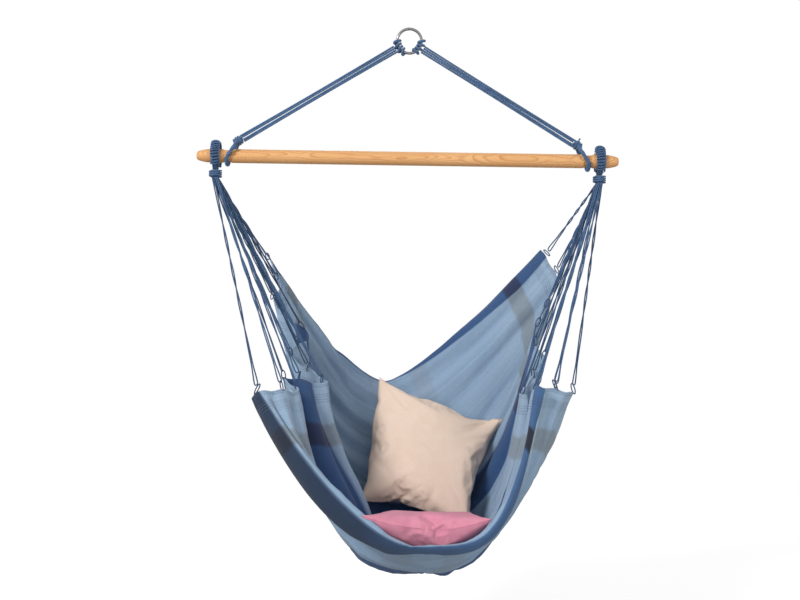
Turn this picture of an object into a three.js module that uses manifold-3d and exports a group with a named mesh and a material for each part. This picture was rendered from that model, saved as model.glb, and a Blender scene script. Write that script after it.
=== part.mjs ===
// A hammock chair: a steel ring, two hanging cords, a turned wooden spreader bar, a fan of seat
// strings on each end of the bar, a woven cotton seat and two loose cushions.
// Millimetres, +Z up. The origin is where the hook bears inside the top of the ring.
// The sitter looks along -Y, so -X is on the left of someone who faces the chair.

import * as THREE from 'three';
import Module from 'manifold-3d';
import { mergeVertices } from 'three/addons/utils/BufferGeometryUtils.js';

const wasm = await Module();
wasm.setup();

// Driving dimensions

const seatGap = 0.3;            // clearance between pieces that touch

const ringOutside = 71;         // hanging ring, over its wire
const ringWire = 7.5;
const hitchAngle = 31;          // degrees below level at which each cord is hitched
const hitchCord = 7;
const hitchTurns = 4;
const hitchSelfGap = 0.8;

const strandDiameter = 5.2;     // hanging cord: four strands side by side
const strandCount = 4;
const strandPitchAtRing = 6.1;
const strandPitchAtKnot = 5.5;
const strandTuck = 0.15;        // how far the strands reach in between the turns of the hitch

const barLength = 1100;
const barDiameter = 36;
const barDrop = 335;            // from the origin down to the axis of the bar
const barTipDiameter = 22;
const barTaperLength = 46;
const barGrooveInset = 80;      // groove for the hanging cord, from the end of the bar
const barGrooveWidth = 20;
const barGrooveDepth = 2.5;
const endLoopInset = 49;        // seat loop, from the end of the bar

const barKnotShift = 28;        // knot of the hanging cord, from its groove to the middle of the bar
const barKnotRise = 40;         // above the axis of the bar
const barKnotDiameter = 26;
const barKnotLength = 30;
const barKnotShare = [          // radius and place along its axis, of half its diameter and length
  [0, -1],
  [0.62, -1],
  [0.94, -0.62],
  [1, -0.1],
  [0.86, 0.2],
  [0.98, 0.5],
  [0.66, 1],
  [0, 1],
];
const barLoopCord = 11;

const loopCoreWidth = 14;       // bundle of strings that loops over the bar, across
const loopCoreThickness = 4.8;
const whippingCord = 4;
const whippingTurns = 22;
const loopPeak = 35;            // middle of the bundle at its peak, above the axis of the bar
const loopPeakRadius = 17;
const loopFootDrop = 35;        // end of each leg of the loop, below the axis of the bar
const loopFootSpread = 15.6;    // between the middles of the two legs at their ends

const collarDiameter = 24;
const collarCord = 4.6;
const collarTurns = 3;
const collarSelfGap = 0.6;

const stringDiameter = 3.4;
const stringPairs = 14;         // pairs of strings on each side
const stringTopPitch = 4.1;
const stringLoopWidth = 8.4;    // between the two legs of a pair at the hem
const hemHugShare = 0.9;        // of the lift over a sloping hem, that the cloth's give leaves
const hemMarginShare = 0.35;    // from a hem's end to its first pair, of the pitch of the pairs

const seatWidth = 800;          // between the front corners of the hems
const seatDepth = 640;          // from the front rim to the back edge
const seatDrop = 1053;          // from the axis of the bar to the lowest point of the cloth
const clothThickness = 3;
const cushionSide = 355;        // corner to corner of a filled 400 mm cover
const cushionThickness = 124;
const cushionPullShare = 0.045; // of the half side, by which the middle of a side draws in

// Finishes

const finish = (color, roughness, metalness = 0) =>
  new THREE.MeshStandardMaterial({ color, roughness, metalness });

const steel = finish(0xb9bcc0, 0.25, 1);
const pine = finish(0xe3ad74, 0.55);
const cordBlue = finish(0x3f638f, 0.8);
const clothBlue = finish(0x8facc8, 0.9);
const coverBeige = finish(0xe4cbb4, 0.9);
const coverPink = finish(0xd68aa0, 0.9);

const chair = new THREE.Group();
const barAxisZ = -barDrop;
const barGrooveAt = barLength / 2 - barGrooveInset;
const barKnotAt = barGrooveAt - barKnotShift;
const endLoopAt = barLength / 2 - endLoopInset;
const degrees = Math.PI / 180;

function add(name, geometry, material, parent = chair) {
  const mesh = new THREE.Mesh(geometry, material);
  mesh.name = name;
  parent.add(mesh);
  return mesh;
}

// Geometry helpers

const v3 = (x, y, z) => new THREE.Vector3(x, y, z);

function bodyFrom(vertices, faces) {
  const geometry = new THREE.BufferGeometry();
  const flat = vertices.flatMap((p) => [p.x, p.y, p.z]);
  geometry.setAttribute('position', new THREE.Float32BufferAttribute(flat, 3));
  geometry.setIndex(faces.flat());
  geometry.computeVertexNormals();
  return geometry;
}

// Joins rings of points into one closed skin, with a flat cap at each end.
function skinOf(rings) {
  const sides = rings[0].length;
  const vertices = rings.flat();
  const faces = [];
  for (let r = 0; r + 1 < rings.length; r += 1) {
    for (let k = 0; k < sides; k += 1) {
      const a = r * sides + k;
      const b = r * sides + ((k + 1) % sides);
      faces.push([a, b, b + sides], [a, b + sides, a + sides]);
    }
  }
  const last = (rings.length - 1) * sides;
  for (let k = 1; k + 1 < sides; k += 1) {
    faces.push([0, k + 1, k], [last, last + k, last + k + 1]);
  }
  return bodyFrom(vertices, faces);
}

// Unit vectors across a path at each of its points, carried along without twist.
function framesAlong(points, firstAcross) {
  const frames = [];
  let across = firstAcross.clone();
  points.forEach((point, i) => {
    const before = points[Math.max(i - 1, 0)];
    const after = points[Math.min(i + 1, points.length - 1)];
    const along = after.clone().sub(before).normalize();
    across = across.clone().addScaledVector(along, -across.dot(along)).normalize();
    frames.push({ point, along, across, up: along.clone().cross(across) });
  });
  return frames;
}

function anyAcross(points) {
  const along = points[1].clone().sub(points[0]).normalize();
  const helper = Math.abs(along.x) < Math.SQRT1_2 ? v3(1, 0, 0) : v3(0, 1, 0);
  return helper.cross(along).normalize();
}

// A tube of elliptical section, halfAcross by halfUp, along a list of points.
function tubeAlong(points, halfAcross, halfUp, sides, firstAcross = anyAcross(points)) {
  const rings = framesAlong(points, firstAcross).map(({ point, across, up }) =>
    Array.from({ length: sides }, (_, k) => {
      const turn = (2 * Math.PI * k) / sides;
      return point
        .clone()
        .addScaledVector(across, halfAcross * Math.cos(turn))
        .addScaledVector(up, halfUp * Math.sin(turn));
    }),
  );
  return skinOf(rings);
}

// Points of a winding around a path: an elliptical helix, halfAcross by halfUp.
function windingPoints(path, firstAcross, halfAcross, halfUp, turns, steps) {
  const frames = framesAlong(path.getSpacedPoints(turns * steps), firstAcross);
  return frames.map(({ point, across, up }, i) => {
    const turn = (2 * Math.PI * i) / steps;
    return point
      .clone()
      .addScaledVector(across, halfAcross * Math.cos(turn))
      .addScaledVector(up, halfUp * Math.sin(turn));
  });
}

// Least distance between stretches of a path that lie at least half a turn apart, less its diameter.
function leastSelfGap(points, steps, diameter) {
  let least = Infinity;
  const middles = points.slice(1).map((p, i) => p.clone().lerp(points[i], 0.5));
  const all = points.concat(middles);
  const index = points.map((_, i) => i).concat(middles.map((_, i) => i + 0.5));
  all.forEach((p, i) => {
    all.forEach((q, j) => {
      if (index[j] - index[i] >= steps / 2) {
        least = Math.min(least, p.distanceTo(q));
      }
    });
  });
  return least - diameter;
}

// A polygon of so many steps is pushed out until its sides clear the circle that it stands for.
const clearOf = (steps) => 1 / Math.cos(Math.PI / steps);

function toSolid(geometry) {
  const bare = geometry.clone();
  bare.deleteAttribute('normal');
  if (bare.attributes.uv) bare.deleteAttribute('uv');
  const merged = mergeVertices(bare);
  const vertProperties = Float32Array.from(merged.attributes.position.array);
  const triVerts = Uint32Array.from(merged.index.array);
  return new wasm.Manifold(new wasm.Mesh({ numProp: 3, vertProperties, triVerts }));
}

function toGeometry(solid) {
  const { vertProperties, triVerts } = solid.getMesh();
  const geometry = new THREE.BufferGeometry();
  geometry.setAttribute('position', new THREE.Float32BufferAttribute(vertProperties, 3));
  geometry.setIndex(Array.from(triVerts));
  geometry.computeVertexNormals();
  return geometry;
}

const cutBy = (geometry, cutter) => toGeometry(toSolid(geometry).subtract(toSolid(cutter)));

// Hanging ring, standing in the XZ plane

const ringRadius = (ringOutside - ringWire) / 2;
const ringCentreZ = -(ringRadius - ringWire / 2);

function makeRing() {
  const wireSides = 12;
  const ringSteps = 36;
  const geometry = new THREE.TorusGeometry(ringRadius, ringWire / 2, wireSides, ringSteps);
  const ring = add('hanging_ring', geometry, steel);
  ring.rotation.x = Math.PI / 2;
  ring.position.z = ringCentreZ;
}

const ringPoint = (angle) =>
  v3(ringRadius * Math.cos(angle), 0, ringCentreZ + ringRadius * Math.sin(angle));

// Hanging cords: a hitch on the ring, four strands, a knot and a loop in the groove of the bar.
// side is -1 on the left and 1 on the right.

const hitchPoint = (side) => {
  const point = ringPoint(-hitchAngle * degrees);
  point.x *= side;
  return point;
};

const knotPoint = (side) => v3(side * barKnotAt, 0, barAxisZ + barKnotRise);

function makeRingHitch(side, name) {
  const steps = 10;
  const sides = 5;
  const across = (ringWire / 2 + seatGap + hitchCord / 2) * clearOf(steps);
  const pitch = (hitchCord + hitchSelfGap) * (ringRadius / (ringRadius - across));
  const halfArc = (pitch * hitchTurns) / ringRadius / 2;
  const middle = side > 0 ? -hitchAngle * degrees : Math.PI + hitchAngle * degrees;
  const count = hitchTurns * steps;
  const arc = Array.from({ length: count + 1 }, (_, i) =>
    ringPoint(middle - side * halfArc * (1 - (2 * i) / count)),
  );
  const path = new THREE.CatmullRomCurve3(arc);
  const points = windingPoints(path, v3(0, 1, 0), across, across, hitchTurns, steps);
  add(name, tubeAlong(points, hitchCord / 2, hitchCord / 2, sides), cordBlue);
  console.log(name, 'least self-gap', leastSelfGap(points, steps, hitchCord).toFixed(2));
  return across + hitchCord / 2;
}

function knotGeometry(side, grow) {
  const radius = barKnotDiameter / 2 + grow;
  const half = barKnotLength / 2 + grow;
  const profile = barKnotShare.map(([r, h]) => new THREE.Vector2(r * radius, h * half));
  const sides = 16;
  const geometry = new THREE.LatheGeometry(profile, sides);
  const along = hitchPoint(side).sub(knotPoint(side)).normalize();
  geometry.applyQuaternion(new THREE.Quaternion().setFromUnitVectors(v3(0, 1, 0), along));
  const at = knotPoint(side);
  geometry.translate(at.x, at.y, at.z);
  return geometry;
}

function makeHangingStrands(side, name, hitchReach) {
  const top = hitchPoint(side);
  const bottom = knotPoint(side);
  const along = bottom.clone().sub(top).normalize();
  const across = v3(0, 1, 0).cross(along);
  const knot = knotGeometry(side, seatGap);
  const sides = 8;
  for (let k = 0; k < strandCount; k += 1) {
    const place = k - (strandCount - 1) / 2;
    const start = top
      .clone()
      .addScaledVector(along, hitchReach + seatGap - strandTuck)
      .addScaledVector(across, place * strandPitchAtRing);
    const end = bottom.clone().addScaledVector(across, place * strandPitchAtKnot);
    const radius = strandDiameter / 2;
    const strand = cutBy(tubeAlong([start, end], radius, radius, sides), knot);
    add(`${name}_${k + 1}`, strand, cordBlue);
  }
}

// The loop leaves the knot, passes down one side of the bar, under it in the groove, and back.
function makeBarLoop(side, name) {
  const cord = barLoopCord / 2;
  const inGroove = barDiameter / 2 - barGrooveDepth + seatGap * 2 + cord;
  const overBar = barDiameter / 2 + seatGap * 2 + cord;
  const rise = barKnotRise;
  const steps = 22;
  const sides = 8;
  const points = Array.from({ length: steps + 1 }, (_, i) => {
    const turn = Math.PI * ((2 * i) / steps - 1);
    const lift = THREE.MathUtils.smoothstep(Math.abs(turn), Math.PI / 4, Math.PI / 2);
    const close = THREE.MathUtils.smoothstep(Math.abs(turn), Math.PI / 2, Math.PI);
    const reach = THREE.MathUtils.lerp(inGroove + (overBar - inGroove) * lift, rise, close);
    const shift = THREE.MathUtils.smoothstep(Math.abs(turn), Math.PI / 3, Math.PI);
    const x = THREE.MathUtils.lerp(barGrooveAt, barKnotAt, shift);
    return v3(side * x, -reach * Math.sin(turn), barAxisZ - reach * Math.cos(turn));
  });
  const open = points.slice(1, -1);
  const loop = cutBy(tubeAlong(open, cord, cord, sides), knotGeometry(side, seatGap));
  add(name, loop, cordBlue);
}

// Spreader bar, turned from one length of pine

function makeBar() {
  const radius = barDiameter / 2;
  const groove = radius - barGrooveDepth;
  const half = barLength / 2;
  const shoulder = half - barTaperLength;
  const grooveIn = barGrooveAt - barGrooveWidth / 2;
  const grooveOut = barGrooveAt + barGrooveWidth / 2;
  const ease = barGrooveDepth;
  const tip = barTipDiameter / 2;
  const bulgeShare = 0.9;
  const taperShares = [0.6, 0.22];
  const halfProfile = [
    [radius, grooveIn - ease],
    [groove, grooveIn + ease],
    [groove, grooveOut - ease],
    [radius, grooveOut + ease],
    [radius, shoulder],
    [tip + (radius - tip) * bulgeShare, half - barTaperLength * taperShares[0]],
    [tip + (radius - tip) * (bulgeShare / 2), half - barTaperLength * taperShares[1]],
    [tip, half - ease],
    [tip - ease, half],
    [0, half],
  ];
  const rightSide = halfProfile.map(([r, h]) => new THREE.Vector2(r, h));
  const leftSide = halfProfile.map(([r, h]) => new THREE.Vector2(r, -h)).reverse();
  const sides = 32;
  const geometry = new THREE.LatheGeometry([...leftSide, ...rightSide], sides);
  const bar = add('spreader_bar', geometry, pine);
  bar.rotation.z = -Math.PI / 2;
  bar.position.z = barAxisZ;
}

// Seat loops: a flat bundle of strings that hangs over the bar, whipped with cord

const whippingSteps = 9;
const whippingSides = 5;
const whippingAcross = (loopCoreWidth / 2 + seatGap + whippingCord / 2) * clearOf(whippingSteps);
const whippingUp = (loopCoreThickness / 2 + seatGap + whippingCord / 2) * clearOf(whippingSteps);
const loopBearing = barDiameter / 2 + seatGap * 2 + whippingUp + whippingCord / 2;
const loopFootZ = barAxisZ - loopFootDrop;

// Half of the path of the bundle, from its peak to its foot, as (out, up) from the axis of the bar:
// a round peak, a flank down to the bar, an arc that bears on the bar, and a straight leg.
function halfLoopPath() {
  const peakCentre = loopPeak - loopPeakRadius;
  const meet = Math.acos((loopBearing - loopPeakRadius) / peakCentre);
  const footOut = loopFootSpread / 2;
  const footTurn = Math.atan2(footOut, -loopFootDrop);
  const leave = footTurn - Math.acos(loopBearing / Math.hypot(footOut, loopFootDrop));
  const arc = (radius, centre, from, to, steps) =>
    Array.from({ length: steps + 1 }, (_, i) => {
      const turn = from + ((to - from) * i) / steps;
      return [radius * Math.sin(turn), centre + radius * Math.cos(turn)];
    });
  const peak = arc(loopPeakRadius, peakCentre, 0, meet, 5);
  const bearing = arc(loopBearing, 0, meet, leave, 7);
  const [out, up] = bearing[bearing.length - 1];
  const legSteps = 3;
  const leg = Array.from({ length: legSteps }, (_, i) => [
    THREE.MathUtils.lerp(out, footOut, (i + 1) / legSteps),
    THREE.MathUtils.lerp(up, -loopFootDrop, (i + 1) / legSteps),
  ]);
  return [...peak, ...bearing, ...leg];
}

function loopPath(side) {
  const back = halfLoopPath().map(([out, up]) => v3(side * endLoopAt, out, barAxisZ + up));
  const front = back.slice(1).map((p) => v3(p.x, -p.y, p.z));
  return new THREE.CatmullRomCurve3([...front.reverse(), ...back]);
}

function makeEndLoop(side, name) {
  const path = loopPath(side);
  const coreSteps = 36;
  const coreSides = 8;
  const corePoints = path.getSpacedPoints(coreSteps);
  const across = v3(1, 0, 0);
  const core = tubeAlong(corePoints, loopCoreWidth / 2, loopCoreThickness / 2, coreSides, across);
  add(`${name}_end_loop`, core, cordBlue);
  const turns = whippingTurns + 2;
  const all = windingPoints(path, across, whippingAcross, whippingUp, turns, whippingSteps);
  const points = all.slice(whippingSteps, -whippingSteps);
  const whipping = tubeAlong(points, whippingCord / 2, whippingCord / 2, whippingSides);
  add(`${name}_loop_whipping`, whipping, cordBlue);
  const gap = leastSelfGap(points, whippingSteps, whippingCord);
  console.log(`${name}_loop_whipping`, 'least self-gap', gap.toFixed(2));
}

// The collar binds the strings together below the loop.

const [legTop, legFoot] = halfLoopPath().slice(-2);
const legOut = legTop[0] - legFoot[0];
const legUp = legTop[1] - legFoot[1];
const legLean = Math.abs(legOut) / Math.hypot(legOut, legUp);
const collarTopZ = loopFootZ - (loopCoreThickness / 2) * legLean - seatGap;
const collarPitch = collarCord + collarSelfGap;
const collarHeight = collarTurns * collarPitch + collarCord;
const collarFootZ = collarTopZ - collarHeight;

function makeCollar(side, name) {
  const radius = collarDiameter / 2;
  const sides = 20;
  const core = new THREE.CylinderGeometry(radius, radius, collarHeight, sides);
  const plug = add(`${name}_string_collar`, core, cordBlue);
  plug.rotation.x = Math.PI / 2;
  plug.position.set(side * endLoopAt, 0, (collarTopZ + collarFootZ) / 2);
  const steps = 12;
  const cordSides = 5;
  const across = (radius + seatGap + collarCord / 2) * clearOf(steps);
  const top = v3(side * endLoopAt, 0, collarTopZ - collarCord / 2);
  const bottom = v3(side * endLoopAt, 0, collarFootZ + collarCord / 2);
  const path = new THREE.LineCurve3(top, bottom);
  const points = windingPoints(path, v3(1, 0, 0), across, across, collarTurns, steps);
  const wrap = tubeAlong(points, collarCord / 2, collarCord / 2, cordSides);
  add(`${name}_collar_wrap`, wrap, cordBlue);
  const gap = leastSelfGap(points, steps, collarCord);
  console.log(`${name}_collar_wrap`, 'least self-gap', gap.toFixed(2));
}

// Seat cloth: one woven sheet hung between its two side hems. Each row of the tables is one fold
// line, from the edge of the front rim to the back edge, at its left hem, its right hem and the
// middle of the seat: across as shares of half the seat's width, back as shares of half its depth,
// and down from the axis of the bar as shares of the seat's drop. The last value of a hem's row is
// the power by which its fold line rises from the middle: a low one hangs straight, a high one full.

const leftHemShare = [
  [-0.925, -0.6, 0.577, 2.3],
  [-0.85, -0.63, 0.56, 1.45],
  [-0.65, -0.42, 0.561, 1.8],
  [-0.768, -0.2, 0.538, 3],
  [-0.51, 0, 0.554, 2.3],
  [-0.77, 0.188, 0.482, 3.2],
  [-0.643, 0.344, 0.446, 2.8],
  [-0.903, 0.531, 0.355, 2.6],
  [-0.87, 0.625, 0.316, 2.1],
  [-0.978, 0.719, 0.227, 1.75],
];
const rightHemShare = [
  [0.84, -0.66, 0.544, 4.6],
  [0.79, -0.61, 0.54, 4.2],
  [1.04, -0.42, 0.56, 2.6],
  [0.84, -0.2, 0.56, 3],
  [0.755, 0, 0.574, 2.5],
  [0.913, 0.156, 0.486, 3.4],
  [0.855, 0.313, 0.447, 3],
  [0.973, 0.469, 0.344, 2.8],
  [1.048, 0.594, 0.291, 1.9],
  [0.95, 0.75, 0.209, 1.35],
];
const middleShare = [
  [0.05, -0.994, 0.905],
  [0.05, -0.938, 0.89],
  [0.09, -0.703, 0.945],
  [0.14, -0.406, 0.985],
  [0.17, -0.094, 1],
  [0.16, 0.25, 0.985],
  [0.1, 0.51, 0.925],
  [0.02, 0.68, 0.82],
  [-0.06, 0.82, 0.69],
  [-0.12, 0.938, 0.57],
];
const hemMeanShare = 0.86;
const pleatPower = 2.4;         // how soon the folds between the hem and the middle smooth out
const clothCloser = 0.85;       // power that draws the columns of the mesh together in the middle
const clothAcross = 21;
const clothRows = 27;

const foldLine = (table) =>
  new THREE.CatmullRomCurve3(
    table.map(([x, y, z]) =>
      v3((x * seatWidth) / 2, (y * seatDepth) / 2, barAxisZ - z * seatDrop),
    ),
    false,
    'centripetal',
  );
const leftHem = foldLine(leftHemShare);
const rightHem = foldLine(rightHemShare);
const middleLine = foldLine(middleShare);

const powersOf = (table) =>
  new THREE.SplineCurve(table.map(([, , , power], i) => new THREE.Vector2(i, power)));
const leftPower = powersOf(leftHemShare);
const rightPower = powersOf(rightHemShare);

// across runs from -1 at the left hem to 1 at the right, along from 0 at the rim to 1 at the back.
function clothPoint(across, along) {
  const hem = (across < 0 ? leftHem : rightHem).getPoint(along);
  const power = (across < 0 ? leftPower : rightPower).getPoint(along).y;
  const middle = middleLine.getPoint(along);
  const out = Math.abs(across);
  const meanX = Math.sign(across) * hemMeanShare * (seatWidth / 2);
  const x = THREE.MathUtils.lerp(middle.x, meanX, out) + (hem.x - meanX) * out ** pleatPower;
  const point = middle.lerp(hem, out ** power);
  point.x = x;
  return point;
}

function clothGrid() {
  return Array.from({ length: clothRows + 1 }, (_, j) =>
    Array.from({ length: clothAcross + 1 }, (_, i) => {
      const even = (2 * i) / clothAcross - 1;
      return clothPoint(Math.sign(even) * Math.abs(even) ** clothCloser, j / clothRows);
    }),
  );
}

function clothGeometry(grid) {
  const rows = grid.length;
  const columns = grid[0].length;
  const normalAt = (j, i) => {
    const right = grid[j][Math.min(i + 1, columns - 1)].clone().sub(grid[j][Math.max(i - 1, 0)]);
    const back = grid[Math.min(j + 1, rows - 1)][i].clone().sub(grid[Math.max(j - 1, 0)][i]);
    return right.cross(back).normalize();
  };
  const skin = (side) =>
    grid.flatMap((row, j) =>
      row.map((p, i) => p.clone().addScaledVector(normalAt(j, i), (side * clothThickness) / 2)),
    );
  const under = rows * columns;
  const at = (j, i) => j * columns + i;
  const faces = [];
  for (let j = 0; j + 1 < rows; j += 1) {
    for (let i = 0; i + 1 < columns; i += 1) {
      const a = at(j, i);
      const b = at(j, i + 1);
      const c = at(j + 1, i + 1);
      const d = at(j + 1, i);
      faces.push([a, b, c], [a, c, d]);
      faces.push([under + a, under + c, under + b], [under + a, under + d, under + c]);
    }
  }
  const border = [
    ...grid[0].map((_, i) => at(0, i)),
    ...grid.slice(1).map((_, j) => at(j + 1, columns - 1)),
    ...grid[0].slice(1).map((_, i) => at(rows - 1, columns - 2 - i)),
    ...grid.slice(2).map((_, j) => at(rows - 2 - j, 0)),
  ];
  border.forEach((a, k) => {
    const b = border[(k + 1) % border.length];
    faces.push([under + a, under + b, b], [under + a, b, a]);
  });
  return bodyFrom([...skin(1), ...skin(-1)], faces);
}

// Cushions: crowned, with drawn-in sides and thin corners, bent to the hollow they lie in

const cushionCells = 12;
const crownPower = 0.5;

function cushionGeometry({ pressedShare, bendAcross, bendAlong, cornerLift }) {
  const half = cushionSide / 2;
  const count = cushionCells + 1;
  const vertices = [];
  const index = new Map();
  const vertexAt = (i, j, face) => {
    const rim = i === 0 || j === 0 || i === cushionCells || j === cushionCells;
    const key = `${i} ${j} ${rim ? 0 : face}`;
    if (!index.has(key)) {
      const a = Math.sin(((i / cushionCells) * 2 - 1) * Math.PI * 0.5);
      const b = Math.sin(((j / cushionCells) * 2 - 1) * Math.PI * 0.5);
      const crown = ((1 - a * a) * (1 - b * b)) ** crownPower;
      const x = pressedShare[0] * half * a * (1 - cushionPullShare * (1 - b * b) * a * a);
      const y = pressedShare[1] * half * b * (1 - cushionPullShare * (1 - a * a) * b * b);
      const bend = bendAcross * a * a + bendAlong * b * b + cornerLift * a * a * b * b;
      const thickness = pressedShare[2] * cushionThickness;
      const z = (rim ? 0 : face * crown * (thickness / 2)) + bend;
      index.set(key, vertices.length);
      vertices.push(v3(x, y, z));
    }
    return index.get(key);
  };
  const faces = [];
  for (let j = 0; j + 1 < count; j += 1) {
    for (let i = 0; i + 1 < count; i += 1) {
      for (const face of [1, -1]) {
        const a = vertexAt(i, j, face);
        const b = vertexAt(i + 1, j, face);
        const c = vertexAt(i + 1, j + 1, face);
        const d = vertexAt(i, j + 1, face);
        if (face > 0) faces.push([a, b, c], [a, c, d]);
        else faces.push([a, c, b], [a, d, c]);
      }
    }
  }
  return bodyFrom(vertices, faces);
}

// How far the upper piece can come down before it touches the lower one.
function dropOnto(upper, lower) {
  return Math.min(leastRise(lower, upper, 1), leastRise(upper, lower, -1));
}

// Least distance from the points of one piece, straight up or down, to the triangles of another.
function leastRise(from, to, way) {
  const cuts = 4;
  const points = trianglesOf(from).flatMap(([a, b, c]) => {
    const found = [];
    for (let i = 0; i < cuts; i += 1) {
      for (let j = 0; i + j < cuts; j += 1) {
        const onEdge = a.clone().lerp(b, i / cuts);
        found.push(onEdge.addScaledVector(c, j / cuts).addScaledVector(a, -j / cuts));
      }
    }
    return found;
  });
  let least = Infinity;
  for (const [a, b, c] of trianglesOf(to)) {
    const lowX = Math.min(a.x, b.x, c.x);
    const highX = Math.max(a.x, b.x, c.x);
    const area = (b.x - a.x) * (c.y - a.y) - (c.x - a.x) * (b.y - a.y);
    if (area === 0) continue;
    for (const p of points) {
      if (p.x < lowX || p.x > highX) continue;
      const v = ((p.x - a.x) * (c.y - a.y) - (c.x - a.x) * (p.y - a.y)) / area;
      const w = ((b.x - a.x) * (p.y - a.y) - (p.x - a.x) * (b.y - a.y)) / area;
      if (v < 0 || w < 0 || v + w > 1) continue;
      const z = a.z + v * (b.z - a.z) + w * (c.z - a.z);
      least = Math.min(least, way * (z - p.z));
    }
  }
  return least;
}

function trianglesOf(geometry) {
  const position = geometry.attributes.position;
  const order = geometry.index.array;
  const corner = (i) => new THREE.Vector3().fromBufferAttribute(position, order[i]);
  return Array.from({ length: order.length / 3 }, (_, t) =>
    [0, 1, 2].map((k) => corner(3 * t + k)),
  );
}

// Volume, and volume times its middle's distance back, by the tetrahedra to the origin.
function momentOf(geometry) {
  let volume = 0;
  let moment = 0;
  for (const [a, b, c] of trianglesOf(geometry)) {
    const part = a.dot(b.clone().cross(c)) / 6;
    volume += part;
    moment += (part * (a.y + b.y + c.y)) / 4;
  }
  return { volume, moment };
}

// atShare is of half the seat's width and depth, pressedShare of a cushion's two sides and thickness.
const seatCushion = {
  atShare: [0.15, -0.44],
  turn: new THREE.Euler(-13 * degrees, 1.5 * degrees, 0.5 * degrees),
  pressedShare: [0.9, 0.93, 0.84],
  bendAcross: 35,
  bendAlong: 11,
  cornerLift: 0,
};
const backCushion = {
  atShare: [0.14, 0.48],
  turn: new THREE.Euler(60 * degrees, 0, 0),
  roll: -17 * degrees,
  pressedShare: [1, 1, 1],
  bendAcross: 20,
  bendAlong: 6,
  cornerLift: 20,
};

// A cushion let down into the seat from above until it rests on what lies under it.
function settledCushion({ atShare, turn, roll = 0, ...bends }, supports) {
  const geometry = cushionGeometry(bends);
  geometry.rotateZ(roll);
  geometry.applyMatrix4(new THREE.Matrix4().makeRotationFromEuler(turn));
  geometry.translate((atShare[0] * seatWidth) / 2, (atShare[1] * seatDepth) / 2, barAxisZ);
  const fall = Math.min(...supports.map((support) => dropOnto(geometry, support)));
  geometry.translate(0, 0, seatGap - fall);
  const solids = supports.map(toSolid);
  const touches = () => solids.some((solid) => !solid.intersect(toSolid(geometry)).isEmpty());
  while (!touches()) {
    geometry.translate(0, 0, -seatGap);
  }
  while (touches()) {
    geometry.translate(0, 0, seatGap);
  }
  return geometry;
}

// Seat strings: each goes down from the collar, turns through the side hem and comes back up

function hemPlaces(grid, side) {
  const column = side < 0 ? 0 : grid[0].length - 1;
  const inner = side < 0 ? 1 : column - 1;
  const edge = grid.map((row) => row[column]);
  const lengths = [0];
  edge.slice(1).forEach((p, k) => lengths.push(lengths[k] + p.distanceTo(edge[k])));
  const total = lengths[lengths.length - 1];
  return Array.from({ length: stringPairs }, (_, k) => {
    const want = (total * (k + hemMarginShare)) / (stringPairs - 1 + 2 * hemMarginShare);
    const row = Math.max(1, lengths.findIndex((length) => length >= want));
    const share = (want - lengths[row - 1]) / (lengths[row] - lengths[row - 1]);
    const tangent = edge[row].clone().sub(edge[row - 1]).normalize();
    const point = edge[row - 1].clone().lerp(edge[row], share);
    const inside = grid[row - 1][inner].clone().lerp(grid[row][inner], share);
    return { point, tangent, away: point.clone().sub(inside).normalize() };
  });
}

function stringPath(side, k, places) {
  const pairRow = Math.floor(k / 2);
  const rows = Math.ceil(stringPairs / 2);
  const { point, tangent, away } = places[k];
  const partner = places[Math.min(k % 2 === 0 ? k + 1 : k - 1, places.length - 1)];
  const outer = side * point.x > side * partner.point.x || (partner === places[k] && k % 2 === 0);
  const column = (outer ? 1 : -1) * side * stringTopPitch;
  const topZ = collarFootZ - seatGap;
  const top = v3(side * endLoopAt + column, (pairRow - (rows - 1) / 2) * stringTopPitch, topZ);
  const up = top.clone().sub(point).normalize();
  const lean = tangent.dot(up);
  const across = tangent.clone().addScaledVector(up, -lean).normalize();
  if (across.x < 0) across.negate();
  const half = stringLoopWidth / 2;
  const radius = stringDiameter / 2;
  const rise = (Math.abs(lean) / Math.sqrt(1 - lean * lean)) * (half + radius);
  const edge = (clothThickness / 2) * Math.sqrt(1 - away.dot(up) ** 2);
  const seat = point.clone().addScaledVector(up, seatGap + edge + radius + hemHugShare * rise + half);
  const turns = 5;
  const bend = Array.from({ length: turns + 1 }, (_, i) => {
    const turn = Math.PI * (i / turns);
    return seat
      .clone()
      .addScaledVector(across, -half * Math.cos(turn))
      .addScaledVector(up, -half * Math.sin(turn));
  });
  const left = top.clone().add(v3(-stringTopPitch / 2, 0, 0));
  const right = top.clone().add(v3(stringTopPitch / 2, 0, 0));
  return [left, ...bend, right];
}

// The two ends are cut level, to meet the flat foot of the collar.
function stringGeometry(points) {
  const sides = 6;
  const radius = stringDiameter / 2;
  const geometry = tubeAlong(points, radius, radius, sides);
  const position = geometry.attributes.position;
  const level = (first, point, along) => {
    for (let k = first; k < first + sides; k += 1) {
      const shift = (point.z - position.getZ(k)) / along.z;
      position.setXYZ(
        k,
        position.getX(k) + along.x * shift,
        position.getY(k) + along.y * shift,
        point.z,
      );
    }
  };
  const last = points.length - 1;
  level(0, points[0], points[1].clone().sub(points[0]).normalize());
  level(last * sides, points[last], points[last].clone().sub(points[last - 1]).normalize());
  return geometry;
}

const stringsOf = (grid, side) => {
  const places = hemPlaces(grid, side);
  return places.map((_, k) => stringGeometry(stringPath(side, k, places)));
};

// The seat hangs with its middle of mass under the bar, so it is moved back or forward to that.
function balanceShift(grid, soft) {
  const strings = [...stringsOf(grid, -1), ...stringsOf(grid, 1)].map(momentOf);
  const softMoments = soft.map(momentOf);
  const sum = (list, key) => list.reduce((total, m) => total + m[key], 0);
  const moment = sum(softMoments, 'moment') + sum(strings, 'moment');
  return -moment / (sum(softMoments, 'volume') + sum(strings, 'volume') / 2);
}

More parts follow.
